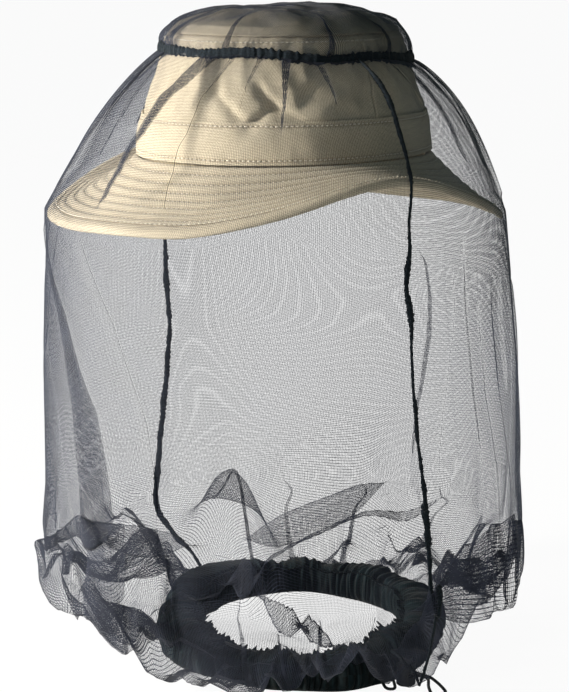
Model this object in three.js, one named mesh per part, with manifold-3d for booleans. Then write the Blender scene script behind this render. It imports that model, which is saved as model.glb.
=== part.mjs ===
// A beekeeping veil: a black net tube worn over a cotton bush hat. An elastic holds the net round the
// hat's crown, the brim holds it away from the face, and a shirred collar with a drawcord and a sprung
// cord lock closes it at the neck.
//
// Millimetres, +Z up. The wearer faces -Y and the wearer's left is +X. The origin is on the plane
// that the collar rests on, below the middle of the crown.

import * as THREE from "three";
import { mergeVertices } from "three/addons/utils/BufferGeometryUtils.js";
import Module from "manifold-3d";

const wasm = await Module();
wasm.setup();

// ---------------------------------------------------------------- driving dimensions

const RING_STEPS = 36; // facets round a full ring
const STEP_ANGLE = (2 * Math.PI) / RING_STEPS;
const SEW_GAP = 0.4; // clearance between layers that are sewn together

// Rows of points down each sheet of cloth.
const CROWN_ROWS = 6;
const NARROW_ROWS = 3; // for the bands and the brim
const NET_CONE_ROWS = 4;
const NET_TUBE_ROWS = 5;
const NET_FUNNEL_ROWS = 6;

// The crown is an oval cone that leans in faster towards its top, closed by a shallow dome.
const CROWN_HALF_WIDTH = 86;
const CROWN_HALF_LENGTH = 102;
const CROWN_BASE_Z = 352;
const CROWN_TOP_Z = 432;
const CROWN_TAPER = 0.22; // share of the base size that is lost at the top
const CROWN_TAPER_POWER = 1.6;
const DOME_HEIGHT = 12.4;
const DOME_POWER = 2.5;
const DOME_FLAT = 0.25; // share of the base size that is flat at the middle of the top panel
const HAT_CLOTH = 1.6;
const HAT_SEAM_STEP = 1; // the crown's side seams sit this many facets behind the widest point

const BAND_HEIGHT = 27;
const BAND_CLOTH = 1.1;
const SWEATBAND_HEIGHT = 30;
const SWEATBAND_DROP = 5; // how far the sweatband hangs below the crown's lower edge

// The brim falls steeply at the front and back and stays nearly level at the sides.
const BRIM_HALF_WIDTH = 141;
const BRIM_HALF_LENGTH = 157;
const BRIM_CENTRE_Y = -6; // the brim reaches further at the front
const BRIM_INNER_Z = 350.6;
const BRIM_LOW_EDGE_Z = 311;
const BRIM_SIDE_RISE = 35;
const BRIM_SIDE_SPREAD = THREE.MathUtils.degToRad(34);
const BRIM_FRONT_RISE = 4;
const BRIM_PLY = 0.9;
const BRIM_PLY_PITCH = 1.35; // from one ply to the next, measured straight down
const BINDING_WIDTH = 6;
const BINDING_CLOTH = 0.8;
const BINDING_CLEARANCE = 0.7; // room for the plies, whose facets twist with the brim

// The crown elastic sits in its own narrow casing, a little higher at the front.
const ELASTIC_Z = 417;
const ELASTIC_TILT = 4.8;
const ELASTIC_HEIGHT = 5.2;
const ELASTIC_THICKNESS = 0.9;
const CASING_CLOTH = 0.6;
const CASING_CLEARANCE = 0.8; // from the crown's cloth to the casing

// The net, from the elastic over the brim's edge and down to the collar.
const NET = 0.8;
const NET_OVER_CROWN = 1.2;
const NET_SHOULDER_DROP = 2; // from the crown's top edge to where the top net turns down
const NET_PAST_BRIM = 3.2;
const NET_HEM_DROP = 1.9; // from the elastic's casing down to the net's cut edge
const CORNER_HALF_WIDTH = 162;
const CORNER_HALF_LENGTH = 168;
const CORNER_Z = 76;
const FUNNEL_POWER = 4; // how sharply the net turns in from the corner towards the collar
const SEAM_TAPE_WIDTH = 5;
const SEAM_TAPE = 0.9;

// The collar is a soft gathered tube, leaning in at the top, drawn up on an elastic cord.
const COLLAR_CENTRE = new THREE.Vector2(8, 8.6);
const COLLAR_RADIUS = 80; // to the middle of the tube's section
const COLLAR_HALF_WIDTH = 13;
const COLLAR_HALF_HEIGHT = 19.6;
const COLLAR_MIDDLE_Z = 19;
const COLLAR_LEAN = 0.2;
const COLLAR_ROUNDNESS = 2.6; // superellipse exponent of the section
const COLLAR_WALL = 1.6;
const COLLAR_SECTION_STEPS = 12;
const COLLAR_HALF_STEPS = 24; // sections along each half of the collar
const COLLAR_JOIN_RADIUS = 96; // where the net meets the collar's outer wall
const COLLAR_JOIN_Z = 32;

const CORD_RADIUS = 1.1;
const CORD_RING_RADIUS = 72;
const CORD_RING_Z = 25;
const CORD_RING_POINTS = 16; // curve points on each half of the ring
const CORD_LEAD_IN = 12; // straight cord before the middle of the lock
const CORD_LEAD_OUT = 4; // straight cord past the lock's furthest place
const CORD_LOOP_LENGTH = 16;
const CORD_LOOP_HALF_WIDTH = 5;
const CORD_STEPS = 120;
const CORD_SIDES = 6;
const EXIT_ANGLE = THREE.MathUtils.degToRad(10); // the cord leaves just behind the left seam
const EXIT_HALF_ANGLE = THREE.MathUtils.degToRad(6);

// The cord lock: a barrel with a sprung plunger. Cross slots in both nip the two strands of cord.
const LOCK_DISTANCE = 102; // from the collar's centre
const LOCK_RADIUS = 6.5;
const LOCK_BASE_Z = 0.5;
const LOCK_HEIGHT = 16;
const LOCK_FLOOR = 1.5;
const LOCK_BORE = 4.6;
const LOCK_CHAMFER = 0.8;
const LOCK_TRAVEL = 12; // how far it slides out along the strands
const PLUNGER_RADIUS = 4.3;
const PLUNGER_TRAVEL = 2.2;
const PLUNGER_PROUD = 3.5;
const STRAND_Z = 10.3;
const STRAND_PITCH = 2.8;
const STRAND_CLEARANCE = 0.1;
const SLOT_HEIGHT = 4.6;
const SLOT_WIDTH = 5.8;
const SLOT_LENGTH = 26; // passes right through the barrel
const SLOT_LIP = 1.7; // plunger material under its slot
const BARREL_SLOT_TOP = STRAND_Z + CORD_RADIUS + STRAND_CLEARANCE;
const PLUNGER_SLOT_BOTTOM = STRAND_Z - CORD_RADIUS - STRAND_CLEARANCE;
const SPRING_WIRE = 0.25;
const SPRING_RADIUS = 3.4;
const SPRING_TURNS = 4;
const SPRING_CLEARANCE = 0.3; // from the wire to the floor and to the plunger
const SPRING_SIDES = 5;
const SPRING_STEPS = 48;
const LATHE_STEPS = 24;

// ---------------------------------------------------------------- materials

const cloth = (color, roughness = 0.9) => new THREE.MeshStandardMaterial({ color, roughness, metalness: 0 });
const HAT_COTTON = cloth(0xd8c8a4);
const HAT_LINING = cloth(0xc4b48e);
const NET_BLACK = cloth(0x1d2124, 0.7);
const TAPE_BLACK = cloth(0x101316, 0.95);
const COLLAR_BLACK = cloth(0x0f1f22, 0.85);
const ELASTIC_BLACK = cloth(0x141414, 0.6);
const LOCK_PLASTIC = cloth(0x111315, 0.45);
const SPRING_STEEL = new THREE.MeshStandardMaterial({ color: 0xb8bcc0, roughness: 0.3, metalness: 1 });

// ---------------------------------------------------------------- mesh helpers

const model = new THREE.Group();

function addPiece(name, geometry, material, parent = model) {
  const mesh = new THREE.Mesh(geometry, material);
  mesh.name = name;
  parent.add(mesh);
}

function signedVolume(points, index) {
  let sum = 0;
  for (let k = 0; k < index.length; k += 3) {
    const [a, b, c] = [points[index[k]], points[index[k + 1]], points[index[k + 2]]];
    sum += a.dot(b.clone().cross(c)) / 6;
  }
  return sum;
}

function geometryFrom(points, index) {
  if (signedVolume(points, index) < 0) {
    index.reverse();
  }
  const geometry = new THREE.BufferGeometry().setFromPoints(points);
  geometry.setIndex(index);
  geometry.computeVertexNormals();
  return geometry;
}

// A sheet with two faces, each a list of columns of points. A ring's last column joins its first, a
// tube's last row joins its first, and with a pole the first row of each face is a single point.
function sheet(outer, inner, { ring = false, tube = false, pole = false } = {}) {
  const columns = outer.length;
  const rows = outer[0].length;
  const points = [...outer.flat(), ...inner.flat()];
  const at = (face, column, row) => {
    const wrappedRow = row % rows;
    const wrappedColumn = pole && wrappedRow === 0 ? 0 : column % columns;
    return (face * columns + wrappedColumn) * rows + wrappedRow;
  };
  const index = [];
  const triangle = (a, b, c) => {
    if (a !== b && b !== c && c !== a) {
      index.push(a, b, c);
    }
  };
  const quad = (a, b, c, d) => {
    triangle(a, b, c);
    triangle(a, c, d);
  };
  const columnSpans = ring ? columns : columns - 1;
  const rowSpans = tube ? rows : rows - 1;
  const lastRow = rows - 1;
  const lastColumn = columns - 1;
  for (let c = 0; c < columnSpans; c += 1) {
    for (let r = 0; r < rowSpans; r += 1) {
      quad(at(0, c, r), at(0, c + 1, r), at(0, c + 1, r + 1), at(0, c, r + 1));
      quad(at(1, c, r), at(1, c, r + 1), at(1, c + 1, r + 1), at(1, c + 1, r));
    }
    if (!tube) {
      quad(at(0, c, lastRow), at(0, c + 1, lastRow), at(1, c + 1, lastRow), at(1, c, lastRow));
    }
    if (!tube && !pole) {
      quad(at(1, c, 0), at(1, c + 1, 0), at(0, c + 1, 0), at(0, c, 0));
    }
  }
  if (!ring) {
    for (let r = 0; r < rowSpans; r += 1) {
      quad(at(0, 0, r), at(0, 0, r + 1), at(1, 0, r + 1), at(1, 0, r));
      quad(at(1, lastColumn, r), at(1, lastColumn, r + 1), at(0, lastColumn, r + 1), at(0, lastColumn, r));
    }
  }
  return geometryFrom(points, index);
}

// Cloth of a given thickness over a surface. path(angle) lists the surface's points from the top
// outwards and down; lift is the clearance from that surface to the cloth's inner face.
function layer(path, angles, thickness, lift, options = {}) {
  const outer = [];
  const inner = [];
  for (const angle of angles) {
    const points = path(angle);
    const round = new THREE.Vector3(-Math.sin(angle), Math.cos(angle), 0);
    const normals = points.map((_, k) => {
      const before = points[Math.max(k - 1, 0)];
      const after = points[Math.min(k + 1, points.length - 1)];
      return after.clone().sub(before).cross(round).normalize();
    });
    if (options.pole) {
      normals[0].set(0, 0, 1);
    }
    const raised = (height) => points.map((p, k) => p.clone().addScaledVector(normals[k], height));
    outer.push(raised(lift + thickness));
    inner.push(raised(lift));
  }
  return sheet(outer, inner, options);
}

// Angles of the facets from one whole step to another, drawn in a little at both ends for the seams.
function arc(firstStep, lastStep, trim = 0) {
  const angles = [];
  for (let step = firstStep; step <= lastStep; step += 1) {
    angles.push(step * STEP_ANGLE);
  }
  angles[0] += trim;
  angles[angles.length - 1] -= trim;
  return angles;
}

const FULL_RING = arc(0, RING_STEPS - 1);
const HALF_RING = RING_STEPS / 2;
const SEAM_TRIM = SEW_GAP / 2 / CROWN_HALF_WIDTH;

const spread = (low, high, count) =>
  Array.from({ length: count }, (_, k) => THREE.MathUtils.lerp(low, high, k / (count - 1)));

const oval = (halfWidth, halfLength, angle, z) =>
  new THREE.Vector3(halfWidth * Math.cos(angle), halfLength * Math.sin(angle), z);

function toSolid(geometry) {
  const bare = geometry.clone();
  bare.deleteAttribute("normal");
  bare.deleteAttribute("uv");
  const merged = mergeVertices(bare);
  const vertProperties = new Float32Array(merged.attributes.position.array);
  const triVerts = new Uint32Array(merged.index.array);
  return new wasm.Manifold(new wasm.Mesh({ numProp: 3, vertProperties, triVerts }));
}

function toGeometry(solid) {
  const mesh = solid.getMesh();
  const geometry = new THREE.BufferGeometry();
  geometry.setAttribute("position", new THREE.BufferAttribute(new Float32Array(mesh.vertProperties), 3));
  geometry.setIndex(new THREE.BufferAttribute(new Uint32Array(mesh.triVerts), 1));
  geometry.computeVertexNormals();
  return geometry;
}

// A round wire or cord along a curve.
function roundBar(curve, radius, sides, steps) {
  const corners = spread(0, 2 * Math.PI, sides + 1).slice(0, sides);
  const section = new THREE.Shape(
    corners.map((corner) => new THREE.Vector2(radius * Math.cos(corner), radius * Math.sin(corner))),
  );
  return new THREE.ExtrudeGeometry(section, { steps, bevelEnabled: false, extrudePath: curve });
}

function turned(profile) {
  const geometry = new THREE.LatheGeometry(
    profile.map(([radius, height]) => new THREE.Vector2(radius, height)),
    LATHE_STEPS,
  );
  return geometry.rotateX(Math.PI / 2);
}

// ---------------------------------------------------------------- hat

function crownScale(z) {
  const share = Math.max(z - CROWN_BASE_Z, 0) / (CROWN_TOP_Z - CROWN_BASE_Z);
  return 1 - CROWN_TAPER * share ** CROWN_TAPER_POWER;
}

function crownPoint(angle, z, outwards = 0) {
  const scale = crownScale(z);
  const halfWidth = CROWN_HALF_WIDTH * scale + outwards;
  const halfLength = CROWN_HALF_LENGTH * scale + outwards;
  return oval(halfWidth, halfLength, angle, z);
}

// The top panel's outer face at a share of the crown's base size.
const RIM_SHARE = 1 - CROWN_TAPER;
const TOP_RIM_Z = CROWN_TOP_Z + HAT_CLOTH;

function domePoint(angle, share) {
  const across = Math.max(share - DOME_FLAT, 0) / (RIM_SHARE - DOME_FLAT);
  const z = TOP_RIM_Z + DOME_HEIGHT * (1 - across ** DOME_POWER);
  return oval(CROWN_HALF_WIDTH * share, CROWN_HALF_LENGTH * share, angle, z);
}

// Rows of points from the middle of the top panel to its rim, closer together where it bends most.
const DOME_SHARES = [0, 0.8 * DOME_FLAT, DOME_FLAT, 0.42, 0.58, 0.7, RIM_SHARE];

function buildCrown() {
  const topPath = (angle) => DOME_SHARES.map((share) => domePoint(angle, share));
  const topPanel = layer(topPath, FULL_RING, HAT_CLOTH, -HAT_CLOTH, { ring: true, pole: true });
  addPiece("hat_top_panel", topPanel, HAT_COTTON);

  const sideHeights = spread(CROWN_TOP_Z - SEW_GAP, CROWN_BASE_Z, CROWN_ROWS);
  const sidePath = (angle) => sideHeights.map((z) => crownPoint(angle, z));
  const leftSeam = HAT_SEAM_STEP;
  const rightSeam = HALF_RING - HAT_SEAM_STEP;
  const backAngles = arc(leftSeam, rightSeam, SEAM_TRIM);
  const frontAngles = arc(rightSeam, RING_STEPS + leftSeam, SEAM_TRIM);
  addPiece("hat_crown_front_panel", layer(sidePath, frontAngles, HAT_CLOTH, -HAT_CLOTH), HAT_COTTON);
  addPiece("hat_crown_back_panel", layer(sidePath, backAngles, HAT_CLOTH, -HAT_CLOTH), HAT_COTTON);

  const bandHeights = spread(CROWN_BASE_Z + BAND_HEIGHT, CROWN_BASE_Z, NARROW_ROWS);
  const bandPath = (angle) => bandHeights.map((z) => crownPoint(angle, z));
  addPiece("hat_band", layer(bandPath, FULL_RING, BAND_CLOTH, SEW_GAP, { ring: true }), HAT_COTTON);

  const sweatbandLow = CROWN_BASE_Z - SWEATBAND_DROP;
  const sweatbandHeights = spread(sweatbandLow + SWEATBAND_HEIGHT, sweatbandLow, NARROW_ROWS);
  const sweatbandPath = (angle) => sweatbandHeights.map((z) => crownPoint(angle, z));
  const sweatbandLift = -HAT_CLOTH - SEW_GAP - BAND_CLOTH;
  const sweatband = layer(sweatbandPath, FULL_RING, BAND_CLOTH, sweatbandLift, { ring: true });
  addPiece("hat_sweatband", sweatband, HAT_LINING);
}

function brimEdgeZ(angle) {
  const fromSide = Math.asin(Math.abs(Math.sin(angle)));
  const sideRise = BRIM_SIDE_RISE * Math.exp(-((fromSide / BRIM_SIDE_SPREAD) ** 2));
  return BRIM_LOW_EDGE_Z + sideRise - BRIM_FRONT_RISE * Math.sin(angle);
}

// A point of the brim's upper face, at a distance past its edge (negative is inside the edge).
function brimPointFromEdge(angle, pastEdge, below = 0) {
  const reach = BRIM_HALF_WIDTH - CROWN_HALF_WIDTH;
  const share = 1 + pastEdge / reach;
  const halfWidth = THREE.MathUtils.lerp(CROWN_HALF_WIDTH, BRIM_HALF_WIDTH, share);
  const halfLength = THREE.MathUtils.lerp(CROWN_HALF_LENGTH, BRIM_HALF_LENGTH, share);
  const z = THREE.MathUtils.lerp(BRIM_INNER_Z, brimEdgeZ(angle), share);
  const point = oval(halfWidth, halfLength, angle, z - below);
  point.y += BRIM_CENTRE_Y * share;
  return point;
}

function buildBrim() {
  const rows = spread(CROWN_HALF_WIDTH - BRIM_HALF_WIDTH, 0, NARROW_ROWS);
  const face = (below) => FULL_RING.map((angle) => rows.map((row) => brimPointFromEdge(angle, row, below)));
  ["hat_brim_top_ply", "hat_brim_interlining", "hat_brim_bottom_ply"].forEach((name, ply) => {
    const top = ply * BRIM_PLY_PITCH;
    const material = ply === 1 ? HAT_LINING : HAT_COTTON;
    addPiece(name, sheet(face(top), face(top + BRIM_PLY), { ring: true }), material);
  });

  // The binding is a tape folded round the brim's edge: an outer and an inner outline of the fold.
  const stack = 2 * BRIM_PLY_PITCH + BRIM_PLY;
  const fold = (clearance) => (angle) => [
    brimPointFromEdge(angle, -BINDING_WIDTH, -clearance),
    brimPointFromEdge(angle, clearance, -clearance),
    brimPointFromEdge(angle, clearance, stack + clearance),
    brimPointFromEdge(angle, -BINDING_WIDTH, stack + clearance),
  ];
  const outer = FULL_RING.map(fold(BINDING_CLEARANCE + BINDING_CLOTH));
  const inner = FULL_RING.map(fold(BINDING_CLEARANCE));
  addPiece("hat_brim_binding", sheet(outer, inner, { ring: true }), HAT_COTTON);
}

// ---------------------------------------------------------------- veil

const elasticZ = (angle) => ELASTIC_Z - ELASTIC_TILT * Math.sin(angle);
const CASING_HALF_HEIGHT = ELASTIC_HEIGHT / 2 + CASING_CLOTH;
const CASING_WIDTH = ELASTIC_THICKNESS + 2 * (SEW_GAP + CASING_CLOTH);

function buildCrownElastic() {
  // The casing is folded over the elastic from above and stays open below.
  const fold = (cover) => (angle) => {
    const z = elasticZ(angle);
    const outerWall = CASING_CLEARANCE + CASING_WIDTH - cover;
    const innerWall = CASING_CLEARANCE + cover;
    const top = z + CASING_HALF_HEIGHT - cover;
    const bottom = z - CASING_HALF_HEIGHT;
    return [
      crownPoint(angle, bottom, innerWall),
      crownPoint(angle, top, innerWall),
      crownPoint(angle, top, outerWall),
      crownPoint(angle, bottom, outerWall),
    ];
  };
  const casing = sheet(FULL_RING.map(fold(0)), FULL_RING.map(fold(CASING_CLOTH)), { ring: true });
  addPiece("crown_elastic_casing", casing, TAPE_BLACK);

  const innerFace = CASING_CLEARANCE + CASING_CLOTH + SEW_GAP;
  const elasticFace = (outwards) => (angle) => {
    const top = elasticZ(angle) + CASING_HALF_HEIGHT - CASING_CLOTH - SEW_GAP;
    return [crownPoint(angle, top, outwards), crownPoint(angle, top - ELASTIC_HEIGHT, outwards)];
  };
  const outer = FULL_RING.map(elasticFace(innerFace + ELASTIC_THICKNESS));
  const inner = FULL_RING.map(elasticFace(innerFace));
  addPiece("crown_elastic", sheet(outer, inner, { ring: true }), ELASTIC_BLACK);
}

function buildTopNet() {
  const path = (angle) => {
    const dome = DOME_SHARES.map((share) => domePoint(angle, share));
    const hem = elasticZ(angle) + CASING_HALF_HEIGHT + SEW_GAP;
    const side = [CROWN_TOP_Z - NET_SHOULDER_DROP, hem].map((z) => crownPoint(angle, z));
    return [...dome, ...side];
  };
  const geometry = layer(path, FULL_RING, NET, NET_OVER_CROWN, { ring: true, pole: true });
  addPiece("veil_top_panel", geometry, NET_BLACK);
}

// The net's surface at one angle, from the elastic down to the collar.
function netPath(angle) {
  const hem = elasticZ(angle) - CASING_HALF_HEIGHT - NET_HEM_DROP;
  const start = crownPoint(angle, hem, CASING_CLEARANCE + CASING_WIDTH / 2);
  const edge = brimPointFromEdge(angle, NET_PAST_BRIM, 0);
  edge.z = brimEdgeZ(angle);
  const cone = spread(0, 1, NET_CONE_ROWS).map((share) => start.clone().lerp(edge, share));

  const corner = oval(CORNER_HALF_WIDTH, CORNER_HALF_LENGTH, angle, CORNER_Z);
  const tube = spread(0, 1, NET_TUBE_ROWS)
    .slice(1)
    .map((share) => edge.clone().lerp(corner, share));

  const join = new THREE.Vector3(
    COLLAR_CENTRE.x + COLLAR_JOIN_RADIUS * Math.cos(angle),
    COLLAR_CENTRE.y + COLLAR_JOIN_RADIUS * Math.sin(angle),
    COLLAR_JOIN_Z,
  );
  const funnel = spread(0, 1, NET_FUNNEL_ROWS)
    .slice(1)
    .map((share) => {
      const point = corner.clone().lerp(join, share);
      point.z = COLLAR_JOIN_Z + (CORNER_Z - COLLAR_JOIN_Z) * (1 - share) ** FUNNEL_POWER;
      return point;
    });
  return [...cone, ...tube, ...funnel];
}

function buildNetPanels() {
  const frontAngles = arc(-HALF_RING, 0, SEAM_TRIM);
  const backAngles = arc(0, HALF_RING, SEAM_TRIM);
  addPiece("veil_front_panel", layer(netPath, frontAngles, NET, 0), NET_BLACK);
  addPiece("veil_back_panel", layer(netPath, backAngles, NET, 0), NET_BLACK);

  const halfWidth = SEAM_TAPE_WIDTH / 2 / BRIM_HALF_WIDTH;
  const tape = (middle) => layer(netPath, [middle - halfWidth, middle + halfWidth], SEAM_TAPE, NET + SEW_GAP);
  addPiece("veil_left_seam_tape", tape(0), TAPE_BLACK);
  addPiece("veil_right_seam_tape", tape(Math.PI), TAPE_BLACK);
}

// ---------------------------------------------------------------- collar

function collarPoint(angle, radius, z) {
  const x = COLLAR_CENTRE.x + radius * Math.cos(angle);
  const y = COLLAR_CENTRE.y + radius * Math.sin(angle);
  return new THREE.Vector3(x, y, z);
}

// One ring of the collar's section: a superellipse, flat where it rests, shrunk by inset.
function collarSection(angle, inset) {
  const power = (value) => Math.sign(value) * Math.abs(value) ** (2 / COLLAR_ROUNDNESS);
  return Array.from({ length: COLLAR_SECTION_STEPS }, (_, k) => {
    const turn = ((k + 0.5) / COLLAR_SECTION_STEPS) * 2 * Math.PI;
    const across = (COLLAR_HALF_WIDTH - inset) * power(Math.cos(turn));
    const up = (COLLAR_HALF_HEIGHT - inset) * power(Math.sin(turn));
    const z = Math.max(COLLAR_MIDDLE_Z + up, inset);
    return collarPoint(angle, COLLAR_RADIUS + across - COLLAR_LEAN * up, z);
  });
}

function buildCollar() {
  const exitStart = EXIT_ANGLE - EXIT_HALF_ANGLE;
  const exitEnd = EXIT_ANGLE + EXIT_HALF_ANGLE;
  const half = (first, last) => {
    const angles = spread(first, last, COLLAR_HALF_STEPS);
    const outer = angles.map((angle) => collarSection(angle, 0));
    const inner = angles.map((angle) => collarSection(angle, COLLAR_WALL));
    return sheet(outer, inner, { tube: true });
  };
  addPiece("collar_casing_front", half(-Math.PI + SEAM_TRIM, exitStart), COLLAR_BLACK);
  addPiece("collar_casing_back", half(exitEnd, Math.PI - SEAM_TRIM), COLLAR_BLACK);
}

// The drawcord runs round the collar from the right seam, out through the lock, back and round again.
function cordPath() {
  const lockFrame = (along, across, z) => {
    const point = collarPoint(EXIT_ANGLE, along, z);
    return point.add(new THREE.Vector3(-Math.sin(EXIT_ANGLE) * across, Math.cos(EXIT_ANGLE) * across, 0));
  };
  const slackEnd = LOCK_DISTANCE + LOCK_RADIUS + LOCK_TRAVEL;
  const straight = spread(LOCK_DISTANCE - CORD_LEAD_IN, slackEnd + CORD_LEAD_OUT, 7);
  // Where a strand drops from the ring to the lock: share of the exit's half angle, reach and fall.
  const drops = [
    { share: 0.77, reach: 4, fall: 2 },
    { share: 0.29, reach: 12, fall: 9 },
  ];
  // One side of the path, from the right seam to the loop's tip; side is -1 for the front strand.
  const strand = (side) => {
    const ringStart = EXIT_HALF_ANGLE + STEP_ANGLE / 3;
    const ring = spread(Math.PI - STEP_ANGLE / 2, ringStart, CORD_RING_POINTS).map((turn) =>
      collarPoint(EXIT_ANGLE + side * turn, CORD_RING_RADIUS, CORD_RING_Z),
    );
    const exit = drops.map(({ share, reach, fall }) =>
      collarPoint(EXIT_ANGLE + side * share * EXIT_HALF_ANGLE, CORD_RING_RADIUS + reach, CORD_RING_Z - fall),
    );
    const through = straight.map((along) => lockFrame(along, (side * STRAND_PITCH) / 2, STRAND_Z));
    const loop = [0.5, 0.8].map((share) =>
      lockFrame(slackEnd + share * CORD_LOOP_LENGTH, side * CORD_LOOP_HALF_WIDTH, STRAND_Z),
    );
    return [...ring, ...exit, ...through, ...loop];
  };
  const tip = lockFrame(slackEnd + CORD_LOOP_LENGTH, 0, STRAND_Z);
  return new THREE.CatmullRomCurve3([...strand(-1), tip, ...strand(1).reverse()]);
}

// ---------------------------------------------------------------- cord lock

function slotBox(bottom) {
  const box = new THREE.BoxGeometry(SLOT_LENGTH, SLOT_WIDTH, SLOT_HEIGHT);
  return toSolid(box.translate(0, 0, bottom + SLOT_HEIGHT / 2));
}

class Coil extends THREE.Curve {
  constructor(low, high) {
    super();
    this.low = low;
    this.high = high;
  }

  getPoint(share, target = new THREE.Vector3()) {
    const turn = share * SPRING_TURNS * 2 * Math.PI;
    const z = THREE.MathUtils.lerp(this.low, this.high, share);
    return target.set(SPRING_RADIUS * Math.cos(turn), SPRING_RADIUS * Math.sin(turn), z);
  }
}

function buildCordLock() {
  const place = collarPoint(EXIT_ANGLE, LOCK_DISTANCE, 0);
  const lock = new THREE.Group();
  lock.position.copy(place);
  lock.rotation.z = EXIT_ANGLE;
  model.add(lock);

  const top = LOCK_BASE_Z + LOCK_HEIGHT;
  const floor = LOCK_BASE_Z + LOCK_FLOOR;
  const barrel = turned([
    [0, LOCK_BASE_Z],
    [LOCK_RADIUS - LOCK_CHAMFER, LOCK_BASE_Z],
    [LOCK_RADIUS, LOCK_BASE_Z + LOCK_CHAMFER],
    [LOCK_RADIUS, top - LOCK_CHAMFER],
    [LOCK_RADIUS - LOCK_CHAMFER, top],
    [LOCK_BORE, top],
    [LOCK_BORE, floor],
    [0, floor],
  ]);
  const slotted = toSolid(barrel).subtract(slotBox(BARREL_SLOT_TOP - SLOT_HEIGHT));
  addPiece("cord_lock_barrel", toGeometry(slotted), LOCK_PLASTIC, lock);

  const plungerFoot = PLUNGER_SLOT_BOTTOM - SLOT_LIP;
  const plungerTop = top + PLUNGER_PROUD;
  const plunger = turned([
    [0, plungerFoot],
    [PLUNGER_RADIUS, plungerFoot],
    [PLUNGER_RADIUS, plungerTop - LOCK_CHAMFER],
    [PLUNGER_RADIUS - LOCK_CHAMFER, plungerTop],
    [0, plungerTop],
  ]);
  const crossed = toSolid(plunger).subtract(slotBox(PLUNGER_SLOT_BOTTOM));
  addPiece("cord_lock_plunger", toGeometry(crossed), LOCK_PLASTIC, lock);

  const springGap = SPRING_WIRE + SPRING_CLEARANCE;
  const coil = new Coil(floor + springGap, plungerFoot - springGap);
  addPiece("cord_lock_spring", roundBar(coil, SPRING_WIRE, SPRING_SIDES, SPRING_STEPS), SPRING_STEEL, lock);
}

// ---------------------------------------------------------------- assembly

buildCrown();
buildBrim();
buildCrownElastic();
buildTopNet();
buildNetPanels();
buildCollar();
addPiece("collar_drawcord", roundBar(cordPath(), CORD_RADIUS, CORD_SIDES, CORD_STEPS), ELASTIC_BLACK);
buildCordLock();

if (PLUNGER_SLOT_BOTTOM - SLOT_LIP - PLUNGER_TRAVEL < LOCK_BASE_Z + LOCK_FLOOR) {
  throw new Error("the pressed plunger would pass through the barrel's floor");
}

export default model;
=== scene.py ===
"""Looks for the beekeeping veil: a cotton bush hat under a black net, gathered into a corded collar.

Metres, +Z up. The wearer faces -Y and the wearer's left is +X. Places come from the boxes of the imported
CAD nodes. Angles run anticlockwise from +X, seen from above. Side 0 is the back net panel, from the left
seam to the right one (0 to 180 degrees), and side 1 is the front panel (-180 to 0 degrees).
"""

import math

import bpy
import numpy as np
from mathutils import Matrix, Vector, noise


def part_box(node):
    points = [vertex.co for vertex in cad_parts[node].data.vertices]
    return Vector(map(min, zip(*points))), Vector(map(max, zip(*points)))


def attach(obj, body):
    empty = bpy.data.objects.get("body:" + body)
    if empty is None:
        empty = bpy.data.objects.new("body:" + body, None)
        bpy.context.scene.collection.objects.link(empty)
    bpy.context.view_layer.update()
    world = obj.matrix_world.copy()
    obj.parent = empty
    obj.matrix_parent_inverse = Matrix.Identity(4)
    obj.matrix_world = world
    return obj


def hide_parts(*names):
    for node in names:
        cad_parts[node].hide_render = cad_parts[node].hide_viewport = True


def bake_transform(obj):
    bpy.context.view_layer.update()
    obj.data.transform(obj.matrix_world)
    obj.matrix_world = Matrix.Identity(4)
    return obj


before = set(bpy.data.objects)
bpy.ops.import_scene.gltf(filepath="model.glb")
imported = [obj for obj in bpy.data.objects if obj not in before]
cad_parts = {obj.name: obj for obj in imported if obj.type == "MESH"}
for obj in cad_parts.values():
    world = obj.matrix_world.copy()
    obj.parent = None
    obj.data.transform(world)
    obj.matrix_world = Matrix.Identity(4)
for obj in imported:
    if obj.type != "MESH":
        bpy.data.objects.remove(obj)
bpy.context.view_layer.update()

MM = 0.001
TAU = 2 * math.pi


# -------- sizes, from the CAD boxes

def node_box(*names):
    """The lowest and highest corner of a group of CAD nodes."""
    boxes = np.array([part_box(name) for name in names])
    return boxes[:, 0].min(axis=0), boxes[:, 1].max(axis=0)


crown_low, crown_high = node_box("hat_crown_front_panel", "hat_crown_back_panel")
top_high = node_box("hat_top_panel")[1]
band_low, band_high = node_box("hat_band")
sweat_low, sweat_high = node_box("hat_sweatband")
brim_low, brim_high = node_box("hat_brim_top_ply")
casing_low, casing_high = node_box("crown_elastic_casing")
net_low, net_high = node_box("veil_front_panel", "veil_back_panel")
collar_low, collar_high = node_box("collar_casing_front", "collar_casing_back")
lock_low, lock_high = node_box("cord_lock_barrel")
plunger_high = node_box("cord_lock_plunger")[1]

CROWN_HALF = (crown_high - crown_low)[:2] / 2
CROWN_BASE_Z = crown_low[2]
CROWN_TOP_Z = crown_high[2]
CROWN_TAPER = 0.22
CROWN_TAPER_POWER = 1.6
DOME_FLAT = 0.25
DOME_POWER = 2.5
DOME_RIM_Z = CROWN_TOP_Z + 2 * MM
DOME_TOP_Z = top_high[2]

BRIM_HALF = (brim_high - brim_low)[:2] / 2
BRIM_SHIFT = (brim_high + brim_low)[1] / 2
BRIM_INNER_Z = CROWN_BASE_Z - 1.4 * MM
BRIM_EDGE_Z = 311 * MM
BRIM_SIDE_RISE = 35 * MM
BRIM_SIDE_SPREAD = math.radians(34)
BRIM_FRONT_RISE = 4 * MM
BRIM_THICKNESS = 3.6 * MM

ELASTIC_Z = (casing_low[2] + casing_high[2]) / 2
ELASTIC_TILT = 4.8 * MM

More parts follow.
